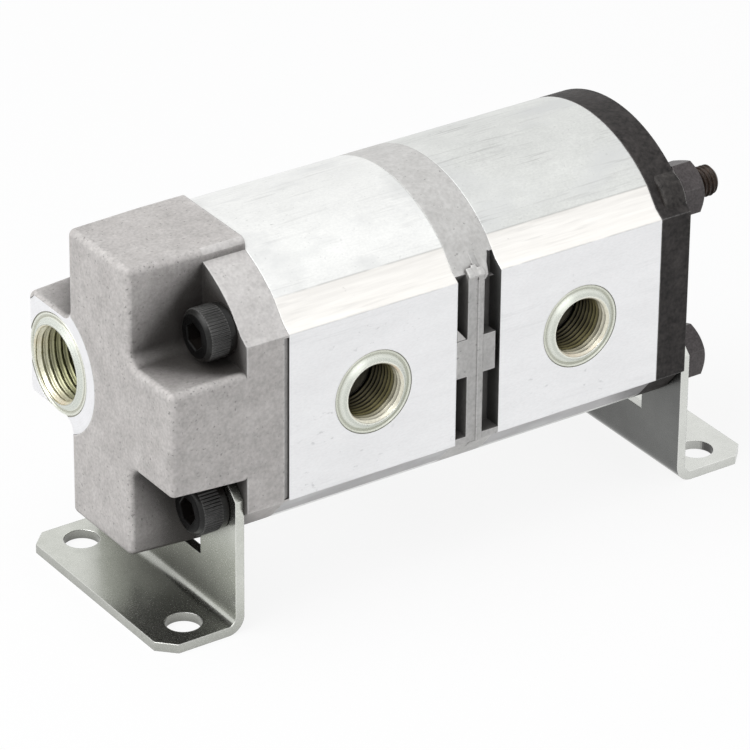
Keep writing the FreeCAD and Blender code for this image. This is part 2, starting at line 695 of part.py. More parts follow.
def makeBush(label, along, turn):
    body = newBody(label)
    outline = newSketch(body, "YZ_Plane")
    addTwinBore(outline, BUSH_RADIUS)
    pad(body, outline, BUSH_LENGTH)

    bores = newSketch(body, "YZ_Plane")
    for level in ("", "-"):
        addCircle(bores, "0", f"{level}{HALF_SPACING}", f"{SLEEVE_OUTSIDE} + Sizes.press_clearance")
    pocket(body, bores, forwards=True)

    for level in ("", "-"):
        seal_groove = newSketch(body, "YZ_Plane")
        addHalfRing(seal_groove, f"{level}{HALF_SPACING}", "Sizes.seal_play")
        pocket(body, seal_groove, "Sizes.bush_seal_depth", forwards=True)

    # Pockets beside the mesh on the gear side, for the oil between the teeth
    relief = newSketch(body, "YZ_Plane", BUSH_LENGTH)
    waist = f"sqrt({BUSH_RADIUS} ^ 2 - {HALF_SPACING} ^ 2)"
    inner = f"({waist} - Sizes.bush_relief)"
    outer = f"({waist} + Sizes.bush_relief)"
    half = "Sizes.relief_height / 2"
    addRectangle(relief, inner, outer, f"-{half}", half)
    addRectangle(relief, f"-{outer}", f"-{inner}", f"-{half}", half)
    pocket(body, relief, "Sizes.relief_floor")
    place(body, along, turn=turn)
    return body


def makeBushSeal(label):
    body = newBody(label)
    for level in ("", "-"):
        sketch = newSketch(body, "YZ_Plane")
        addHalfRing(sketch, f"{level}{HALF_SPACING}")
        pad(body, sketch, "Sizes.bush_seal_depth")
    return body


def makeSleeve(label):
    body = newBody(label)
    sketch = newSketch(body, "YZ_Plane")
    addCircle(sketch, "0", "0", SLEEVE_INSIDE)
    addCircle(sketch, "0", "0", SLEEVE_OUTSIDE)
    pad(body, sketch, BUSH_LENGTH)
    return body


# Gears, cut in one piece with their shafts; each is drawn about its own axis and width

# One tooth, centred on the sketch's upward axis. The flanks are involutes of the base
# circle, and below it they run straight in to a foot inside the hub.
def addTooth(sketch):
    pitch = value(HALF_SPACING)
    pressure = math.radians(value("Sizes.pressure_angle"))
    base = pitch * math.cos(pressure)
    tip = value("Sizes.tip_diameter / 2")
    inside = 0.93 * value(ROOT_RADIUS)
    thickness = math.pi * pitch / value("Sizes.tooth_count") - value("Sizes.backlash") / 2

    def involute(angle):
        return math.tan(angle) - angle

    def half_angle(radius):
        angle = math.acos(min(1.0, base / radius))
        return thickness / (2 * pitch) + involute(pressure) - involute(angle)

    def point(radius, side):
        turn = math.pi / 2 - side * half_angle(max(radius, base))
        return Vector(radius * math.cos(turn), radius * math.sin(turn), 0)

    steps = 7
    radii = [base + (tip - base) * step / steps for step in range(steps + 1)]
    edges = []
    for side in (1, -1):
        flank = Part.BSplineCurve()
        flank.interpolate([point(radius, side) for radius in radii])
        edges.append(flank)
        edges.append(Part.LineSegment(point(inside, side), point(base, side)))
    edges.append(Part.LineSegment(point(inside, -1), point(inside, 1)))
    turns = [math.pi / 2 - side * half_angle(tip) for side in (1, -1)]
    edges.append(Part.ArcOfCircle(Part.Circle(Vector(), Vector(0, 0, 1), tip), *turns))
    for edge in edges:
        index = sketch.addGeometry(edge, False)
        sketch.addConstraint(Sketcher.Constraint("Block", index))


def makeGear(label, along, up, turn, tang=False):
    body = newBody(label)
    hub = newSketch(body, "YZ_Plane")
    addCircle(hub, "0", "0", ROOT_RADIUS)
    pad(body, hub, "Sizes.gear_width", symmetric=True)
    tooth_sketch = newSketch(body, "YZ_Plane")
    addTooth(tooth_sketch)
    tooth = pad(body, tooth_sketch, "Sizes.gear_width", symmetric=True)
    teeth = body.newObject("PartDesign::PolarPattern", "Teeth")
    teeth.Originals = [tooth]
    teeth.Axis = (originFeature(body, "X_Axis"), [""])
    teeth.Angle = 360
    teeth.setExpression("Occurrences", "Sizes.tooth_count")
    body.Tip = teeth
    doc.recompute()

    closed_end = "Sizes.section_length / 2 - Sizes.journal_gap"
    journal = newSketch(body, "YZ_Plane")
    addCircle(journal, "0", "0", JOURNAL)
    pad(body, journal, closed_end, backwards=True)
    tang_end = "(Sizes.section_length / 2 + Sizes.tang_length)"
    rear_journal = newSketch(body, "YZ_Plane")
    addCircle(rear_journal, "0", "0", JOURNAL)
    pad(body, rear_journal, tang_end if tang else closed_end)
    if tang:
        # Two flats leave a tang that drives the coupling
        flats = newSketch(body, "YZ_Plane", tang_end)
        for side in ("", "-"):
            inner = f"{side}(Sizes.tang_thickness / 2)"
            outer = f"{side}(Sizes.journal_diameter)"
            low, high = (inner, outer) if side == "" else (outer, inner)
            addRectangle(flats, low, high, "-Sizes.journal_diameter", "Sizes.journal_diameter")
        pocket(body, flats, "Sizes.tang_length")
    place(body, along, up=up, turn=turn)
    return body


def makeCoupling():
    body = newBody("shaft_coupling")
    disc = newSketch(body, "YZ_Plane")
    addCircle(disc, "0", "0", "Sizes.coupling_diameter / 2")
    length = "(Sizes.middle_thickness - 2 * Sizes.tang_play)"
    pad(body, disc, length, symmetric=True)
    half_slot = "(Sizes.tang_thickness / 2 + Sizes.tang_play)"
    reach = "Sizes.coupling_diameter"
    depth = "Sizes.tang_length"
    front = newSketch(body, "YZ_Plane", f"-{length} / 2")
    addRectangle(front, f"-{half_slot}", half_slot, f"-{reach}", reach)
    pocket(body, front, depth, forwards=True)
    rear = newSketch(body, "YZ_Plane", f"{length} / 2")
    addRectangle(rear, f"-{reach}", reach, f"-{half_slot}", half_slot)
    pocket(body, rear, depth)
    place(body, f"{JOINT_2} + Sizes.middle_thickness / 2", up=UPPER_SHAFT)
    return body


# Fasteners

# Socket-head bolt with the underside of its head at x = 0
def makeBolt(label):
    body = newBody(label)
    head = newSketch(body, "YZ_Plane")
    addCircle(head, "0", "0", "Sizes.head_diameter / 2")
    pad(body, head, "Sizes.head_height", backwards=True)
    shank = newSketch(body, "YZ_Plane")
    addCircle(shank, "0", "0", "Sizes.bolt_diameter / 2")
    pad(body, shank, "Sizes.bolt_length")
    socket = newSketch(body, "YZ_Plane", "-Sizes.head_height")
    addHexagon(socket, "Sizes.socket_flats")
    pocket(body, socket, "Sizes.socket_depth", forwards=True)
    rims = [-value("Sizes.head_height"), value("Sizes.bolt_length")]
    dress(body, "Chamfer", "Sizes.end_chamfer", lambda edge: (
        edge.Curve.TypeId == "Part::GeomCircle"
        and any(near(edge.BoundBox.XMin, rim) and near(edge.BoundBox.XMax, rim) for rim in rims)))
    return body


# Hexagon nut with its seat at x = 0; both faces are turned down to a cone at the corners
def makeNut(label):
    body = newBody(label)
    outline = newSketch(body, "YZ_Plane")
    addHexagon(outline, "Sizes.nut_flats")
    pad(body, outline, "Sizes.nut_height")
    hole = newSketch(body, "YZ_Plane")
    addCircle(hole, "0", "0", "Sizes.bolt_diameter / 2 + Sizes.nut_clearance")
    pocket(body, hole, forwards=True)
    corner = "(Sizes.nut_flats / sqrt(3))"
    flat = "(Sizes.nut_flats / 2)"
    slope = f"({corner} - {flat}) * tan(30)"
    cones = newSketch(body, "XY_Plane")
    reach = f"({flat} + 2 * ({corner} - {flat}))"
    addOutline(cones, [("0", flat), (f"2 * {slope}", reach), ("0", reach)])
    top = "Sizes.nut_height"
    addOutline(cones, [(top, flat), (top, reach), (f"{top} - 2 * {slope}", reach)])
    turnOutline(body, "Groove", cones, "H_Axis")
    return body


def makeDowel(label):
    body = newBody(label)
    sketch = newSketch(body, "YZ_Plane")
    addCircle(sketch, "0", "0", "Sizes.dowel_diameter / 2")
    pad(body, sketch, "Sizes.dowel_length", symmetric=True)
    return body


# Foot bracket: bent sheet with its upright's back at x = 0 and its foot towards -X
def makeBracket(label, along, turn):
    body = newBody(label)
    sheet_end = "-Sizes.sheet_thickness"
    profile = newSketch(body, "XZ_Plane")
    addOutline(profile, [
        ("-Sizes.foot_length", "0"),
        ("0", "0"),
        ("0", "Sizes.upright_height"),
        (sheet_end, "Sizes.upright_height"),
        (sheet_end, "Sizes.sheet_thickness"),
        ("-Sizes.foot_length", "Sizes.sheet_thickness"),
    ])
    pad(body, profile, "Sizes.bracket_width", symmetric=True)
    inside = value("Sizes.sheet_thickness")
    dress(body, "Fillet", "Sizes.bend_radius",
          lambda edge: runsAlong(edge, "y", x=-inside, z=inside))
    dress(body, "Fillet", "Sizes.bend_radius + Sizes.sheet_thickness",
          lambda edge: runsAlong(edge, "y", x=0.0, z=0.0))
    side = value("Sizes.bracket_width / 2")
    top = value("Sizes.upright_height")
    toe = -value("Sizes.foot_length")
    dress(body, "Chamfer", "Sizes.upright_corner", lambda edge: any(
        runsAlong(edge, "x", y=sign * side, z=top) for sign in (1, -1)))
    dress(body, "Chamfer", "Sizes.foot_corner", lambda edge: any(
        runsAlong(edge, "z", x=toe, y=sign * side) for sign in (1, -1)))

    # Notch for the casting and the two lower bolt holes
    upright = newSketch(body, "YZ_Plane")
    half_notch = "Sizes.notch_width / 2"
    addRectangle(upright, f"-{half_notch}", half_notch, "Sizes.notch_floor",
                 "Sizes.upright_height + Sizes.sheet_thickness")
    for sign in ("-", ""):
        addCircle(upright, f"{sign}(Sizes.bolt_across / 2)",
                  "Sizes.axis_height - Sizes.bolt_up / 2", BOLT_HOLE)
    pocket(body, upright, "Sizes.sheet_thickness")

    holes = newSketch(body, "XY_Plane")
    for sign in ("-", ""):
        addCircle(holes, "-(Sizes.sheet_thickness + Sizes.foot_hole_setback)",
                  f"{sign}(Sizes.foot_hole_spacing / 2)", "Sizes.foot_hole / 2")
    pocket(body, holes, "Sizes.sheet_thickness", forwards=True)
    place(body, along, up="0", turn=turn)
    return body


# The assembly, from the inlet end to the rear

X_AXIS = Vector(1, 0, 0)
Y_AXIS = Vector(0, 1, 0)
Z_AXIS = Vector(0, 0, 1)
half_pitch = 180 / value("Sizes.tooth_count")

parts = [makeInletCover(), makeMiddleFlange(), makeRearCover()]

for number, start in enumerate(SECTION_STARTS, 1):
    end = f"({start} + Sizes.section_length)"
    centre = f"({start} + Sizes.section_length / 2)"
    to_rear = (Y_AXIS, 180)
    parts.append(makeSectionBody(f"section_body_{number}", start))
    parts.append(makeBush(f"front_bush_{number}", start, None))
    parts.append(makeBush(f"rear_bush_{number}", end, to_rear))
    faces = [dict(along=start), dict(along=end, turn=to_rear)]
    parts.append(group(f"bush_seals_{number}", makeBushSeal(f"bush_seal_{number}"), faces))
    inner = f"({end} - {BUSH_LENGTH})"
    parts.append(group(f"bearing_sleeves_{number}", makeSleeve(f"bearing_sleeve_{number}"), [
        dict(along=along, up=up) for along in (start, inner) for up in (UPPER_SHAFT, LOWER_SHAFT)]))

    # The tangs of the two drive gears face each other, a quarter turn apart
    drive_turn = None if number == 1 else tuple(
        Rotation(Z_AXIS, 180).multiply(Rotation(X_AXIS, 90)).Q)
    parts.append(makeGear(f"drive_gear_{number}", centre, UPPER_SHAFT, drive_turn, tang=True))
    parts.append(makeGear(f"driven_gear_{number}", centre, LOWER_SHAFT, (X_AXIS, half_pitch)))

parts.append(makeCoupling())

# Joint seals lie in the covers and in both faces of the middle flange
parts.append(makeJointSeal("joint_seal_1", JOINT_1))
parts.append(makeJointSeal("joint_seal_2", f"{JOINT_2} + Sizes.seal_depth"))
parts.append(makeJointSeal("joint_seal_3", JOINT_3))
parts.append(makeJointSeal("joint_seal_4", f"{JOINT_4} + Sizes.seal_depth"))

parts.append(makeBracket("front_bracket", FRONT_FACE, None))
parts.append(makeBracket("rear_bracket", REAR_FACE, (Z_AXIS, 180)))

# The lower bolts and nuts clamp the brackets as well
bolt_levels = {
    "Sizes.axis_height + Sizes.bolt_up / 2": "0",
    "Sizes.axis_height - Sizes.bolt_up / 2": "Sizes.sheet_thickness",
}
bolt_sides = ("-(Sizes.bolt_across / 2)", "Sizes.bolt_across / 2")
parts.append(group("tie_bolts", makeBolt("tie_bolt"), [
    dict(along=f"{FRONT_FACE} - {under}", across=across, up=up)
    for up, under in bolt_levels.items() for across in bolt_sides]))
nut_turn = (X_AXIS, -value("Sizes.nut_turn"))
parts.append(group("tie_nuts", makeNut("tie_nut"), [
    dict(along=f"{REAR_FACE} + {under}", across=across, up=up, turn=nut_turn)
    for up, under in bolt_levels.items() for across in bolt_sides]))
parts.append(group("dowel_pins", makeDowel("dowel_pin"), [
    dict(along=joint, across=f"{sign}Sizes.dowel_across",
         up=f"Sizes.axis_height + {sign}Sizes.dowel_up")
    for joint in (JOINT_1, JOINT_2, JOINT_3, JOINT_4) for sign in ("", "-")]))

doc.recompute()

failed = [item.Name for item in doc.Objects if {"Invalid", "Error"} & set(item.State)]
if failed:
    raise RuntimeError("failed objects: " + ", ".join(failed))

os.makedirs("parts", exist_ok=True)
for part in parts:
    shape = part.Shape
    if shape.isNull() or not shape.isValid():
        raise RuntimeError(f"{part.Label} has no valid shape")
    shape.exportStep(f"parts/{part.Label}.step")
    print(f"{part.Label}: {len(shape.Solids)} solid(s), {shape.Volume / 1000:.2f} cm3")
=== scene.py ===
import math

import bmesh
import bpy
from mathutils import Matrix, Vector


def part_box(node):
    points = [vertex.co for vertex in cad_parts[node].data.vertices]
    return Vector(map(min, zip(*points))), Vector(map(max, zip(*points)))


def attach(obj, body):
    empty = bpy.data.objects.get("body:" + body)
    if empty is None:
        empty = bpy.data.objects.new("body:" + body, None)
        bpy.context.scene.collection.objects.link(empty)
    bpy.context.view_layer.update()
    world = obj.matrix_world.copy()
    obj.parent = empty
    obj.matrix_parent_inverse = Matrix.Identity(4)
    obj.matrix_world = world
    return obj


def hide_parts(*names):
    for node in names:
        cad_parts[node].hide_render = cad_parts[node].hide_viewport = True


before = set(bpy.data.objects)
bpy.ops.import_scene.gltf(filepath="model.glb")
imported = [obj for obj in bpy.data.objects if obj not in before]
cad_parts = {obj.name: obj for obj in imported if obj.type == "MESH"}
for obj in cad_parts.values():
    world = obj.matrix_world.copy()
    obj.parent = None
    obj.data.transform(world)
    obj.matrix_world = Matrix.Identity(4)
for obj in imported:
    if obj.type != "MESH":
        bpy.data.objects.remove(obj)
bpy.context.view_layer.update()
mm = 0.001
print("flow divider: frame loaded,", len(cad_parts), "nodes")


# A node's lowest (0) or highest (1) place along x (0), y (1) or z (2), in mm
def reachOf(node, side, axis=0):
    return round(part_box(node)[side][axis] / mm, 3)


# Places and heights in mm, from the frame where it shows them
endFace = reachOf("inlet_cover", 0)
spotFace = endFace + 0.4  # the turned face round the inlet lies this much deeper
frontJoint = reachOf("section_body_1", 0)
middleJoint = reachOf("middle_flange", 0)
flangeFront = reachOf("front_bracket", 1)
flangeRear = reachOf("rear_cover", 1)
axisHeight = (reachOf("section_body_1", 0, 2) + reachOf("section_body_1", 1, 2)) / 2
boltAcross = 22.875
boltHeights = (78.6, 32.4)
sheetThickness = 2.4
inletAcross, inletHeight = 19.4, 55.7
outletCentres = (-29.025, 31.775)
# The sections' outline, across and up from the axis: where the flat side ends, and where the
# shoulder meets the round top in a crease
sideCorner = (reachOf("rear_cover", 1, 1), 22.35)
shoulderCrease = (26.6, 29.06)


# A value on a wire: sums written on it become Math nodes
class Wire:
    def __init__(self, nodes, socket):
        self.nodes = nodes
        self.socket = socket

    def sum(self, operation, *values, clamp=False):
        settings = {"operation": operation, "use_clamp": clamp}
        return self.nodes.add("ShaderNodeMath", settings, dict(enumerate(values)))

    def __add__(self, other):
        return self.sum("ADD", self, other)

    def __radd__(self, other):
        return self.sum("ADD", other, self)

    def __sub__(self, other):
        return self.sum("SUBTRACT", self, other)

    def __rsub__(self, other):
        return self.sum("SUBTRACT", other, self)

    def __mul__(self, other):
        return self.sum("MULTIPLY", self, other)

    def __rmul__(self, other):
        return self.sum("MULTIPLY", other, self)

    def size(self):
        return self.sum("ABSOLUTE", self)

    # 0 up to the limit and 1 from a width past it
    def above(self, limit, width):
        return self.sum("MULTIPLY_ADD", self, 1 / width, -limit / width, clamp=True)

    # 1 up to the limit and 0 from a width past it
    def below(self, limit, width):
        return self.sum("MULTIPLY_ADD", self, -1 / width, 1 + limit / width, clamp=True)

    # Spread about the middle
    def contrast(self, gain):
        return self.sum("MULTIPLY_ADD", self, gain, 0.5 - gain / 2, clamp=True)


# The nodes of a material or of the world
class Nodes:
    def __init__(self, tree):
        self.tree = tree
        tree.nodes.clear()

    # Any node: its settings first, then the values or wires of its sockets
    def add(self, kind, settings=None, sockets=None, out=0):
        node = self.tree.nodes.new(kind)
        for name, value in (settings or {}).items():
            setattr(node, name, value)
        for name, value in (sockets or {}).items():
            if isinstance(value, Wire):
                self.tree.links.new(value.socket, node.inputs[name])
            else:
                node.inputs[name].default_value = value
        return Wire(self, node.outputs[out]) if node.outputs else node

    # 1 for what the camera sees itself, in a mirror or through glass, and 0 for the light that falls
    def seen(self):
        kinds = ("Is Camera Ray", "Is Glossy Ray", "Is Transmission Ray")
        direct, mirrored, through = (self.add("ShaderNodeLightPath", out=kind) for kind in kinds)
        return direct + mirrored + through


class Finish(Nodes):
    def __init__(self, name):
        self.material = bpy.data.materials.new(name)
        self.material.use_nodes = True
        super().__init__(self.material.node_tree)
        self.place = self.add("ShaderNodeTexCoord", out="Object")

    def mix(self, amount, first, second, blend="MIX"):
        first = (*first, 1) if isinstance(first, tuple) else first
        second = (*second, 1) if isinstance(second, tuple) else second
        settings = {"data_type": "RGBA", "blend_type": blend}
        return self.add("ShaderNodeMix", settings, {0: amount, 6: first, 7: second}, 2)

    def vector(self, operation, *values, out=0):
        return self.add("ShaderNodeVectorMath", {"operation": operation}, dict(enumerate(values)), out)

    # Noise whose patches are about this many mm across, longer where stretch is smaller
    def noise(self, size, detail=2.0, stretch=(1, 1, 1), shift=0.0):
        where = self.vector("MULTIPLY_ADD", self.place, stretch, (shift, shift, shift))
        sockets = {"Vector": where, "Scale": 1 / (size * mm), "Detail": detail}
        return self.add("ShaderNodeTexNoise", {}, sockets)

    # One of the patches below, as a mask
    def patch(self, name):
        size, detail, stretch, shift, limit, width = patches[name]
        return self.noise(size, detail, stretch, shift).above(limit, width)

    # One of the shades below, from 1 down to 1 less its share
    def uneven(self, name):
        size, detail, stretch, shift, gain, share = unevenness[name]
        return self.noise(size, detail, stretch, shift).contrast(gain) * share + (1 - share)

    # The normal rounded over the edges, and 1 along those edges
    def edges(self, radius):
        rounded = self.add("ShaderNodeBevel", {"samples": edgeSamples}, {"Radius": radius * mm})
        bend = 1 - self.vector("DOT_PRODUCT", rounded, self.flat(), out="Value")
        return rounded, bend.above(*edgeBend)

    def flat(self):
        return self.add("ShaderNodeNewGeometry", out="True Normal")

    # 1 deep inside hollows and corners, 0 in the open
    def hollows(self, reach, start, width):
        settings = {"samples": hollowSamples, "only_local": False}
        openness = self.add("ShaderNodeAmbientOcclusion", settings, {"Distance": reach * mm}, "AO")
        return (1 - openness).above(start, width)

    # Distance in mm from a line through the centre along the axis whose mask entry is 0;
    # fold mirrors the line about the centre, that far to each side
    def offLine(self, centre, mask, fold=(0, 0, 0)):
        where = self.vector("SUBTRACT", self.place, tuple(c * mm for c in centre))
        if any(fold):
            where = self.vector("ABSOLUTE", where)
            where = self.vector("SUBTRACT", where, tuple(f * mm for f in fold))
        where = self.vector("MULTIPLY", where, mask)
        return self.vector("LENGTH", where, out="Value") * (1 / mm)

    # Distance in mm along an axis
    def along(self, axis):
        return self.vector("DOT_PRODUCT", self.place, axis, out="Value") * (1 / mm)

    # Fine rings about such a line, as a turning tool leaves them
    def rings(self, distance, spacing):
        sockets = {"W": distance, "Scale": 1 / spacing, "Detail": toolMarks["detail"]}
        return self.add("ShaderNodeTexNoise", {"noise_dimensions": "1D"}, sockets)

    def close(self, colour, roughness, normal, metallic, gloss):
        shader = self.add("ShaderNodeBsdfPrincipled", {}, {
            "Base Color": colour, "Roughness": roughness, "Normal": normal, "Metallic": metallic,
            "Specular IOR Level": gloss})
        self.add("ShaderNodeOutputMaterial", {}, {"Surface": shader})
        return self.material


# What the tone is mixed from: detail and shift of the noise, its contrast and its share
toneLayers = {"cloud": (4.0, 0.0, 2.4, 0.3), "mottle": (2.0, 9.4, 2.6, 0.25), "grain": (3.0, 3.7, 3.0, 0.45)}
# Size in mm, detail, stretch and shift of the noise, then where a patch starts and how soon it is full
patches = {
    "oily": (14, 4.0, (0.6, 1, 1), 8.3, 0.50, 0.16),
    "handled": (18, 2.0, (0.5, 1, 1), 1.3, 0.55, 0.08),
    "rubs": (1.3, 3.0, (0.6, 1, 1), 5.1, 0.66, 0.06),
    "scratches": (0.7, 3.0, (0.05, 1, 1), 11.2, 0.54, 0.12),
    "scratchedPlaces": (9, 2.0, (0.4, 1, 1), 12.9, 0.42, 0.25),
    "brokenLine": (8, 3.0, (1, 1, 1), 2.2, 0.34, 0.2),
}
# The same of the noise, then its contrast and share
unevenness = {"shade": (16, 2.0, (1, 0.6, 1), 7.7, 1.6, 0.08), "polish": (2.2, 3.0, (1, 1, 1), 4.4, 2.0, 0.6)}
edgeBend = (0.012, 0.2)  # how far the normal bends where an edge starts, and from there to full
facingLimit = (0.8, 0.1)  # the same for how squarely a face looks in a direction
edgeSamples, hollowSamples = 6, 14
# tone of the painted shade in hollows and corners
hollowShadeTone = (0.018, 0.015, 0.013)
# tone of the lighter edges: partly rubbed wear, partly a painted highlight
rubbedAndLitTone = (1, 0.985, 0.96)
rubStrength = 0.4
roughContrast = 2.0
toolMarks = {"detail": 3.0, "contrast": 3.0}
dieLine = {"half": 0.08, "border": 0.24}  # half its width, and its soft border
# onEdges: how many more pits the edges have; tone: a share of the finish's dark tone
pit = {"detail": 1.0, "shift": 6.1, "border": 0.05, "onEdges": 0.07, "tone": 0.3}

# Lengths are in mm, tones are red, green and blue.
#   dark, pale: the two tones; cloud, mottle, grain: the size of their patches, from large to small
#   stretch: under 1 draws the patches out along that axis
#   metal, gloss, rough: the shader's metallic and specular values, and its lowest and highest roughness
#   depth: of the grain or the tool marks; round: the radius that edges seem to have
#   wear and highlight: how much lighter the edges are, partly rubbed wear and partly a painted highlight, and
#       how wide
#   hollow shade: painted shade in hollows and corners, how dark it gets, how far the walls reach, where it
#       starts and how soon it is full
#   specks: size of the pits left by the mould, where they start and their strength
#   smear: tone and strength of oily patches; scuffs: tone of rubs, streaks and lines
#   streaks: strength of fine scratches along the part
#   lines: marks along the part, by their place across and up, and their strength
#   turned: the line that the tool marks go round, their spacing and strength
#   shade rings: painted shade in rings about that line, by their radius, half their width, tone and strength
#   deep shade: painted shade deeper inside a bore, by its axis, where it starts along it, how soon it is
#       full, the tone and its strength
#   painted reflection: a direction, and the tone and strength of a painted dark reflection on the faces that
#       look that way
sectionMiddle = (sum(outletCentres) / 2, 0, axisHeight)
outletFold = ((outletCentres[1] - outletCentres[0]) / 2, 0, 0)
inletLine = ((0, inletAcross, inletHeight), (0, 1, 1))
outletLine = (sectionMiddle, (1, 0, 1), outletFold)
creaseMark = (*shoulderCrease, 0.45)
cornerMark = (*sideCorner, 0.4)
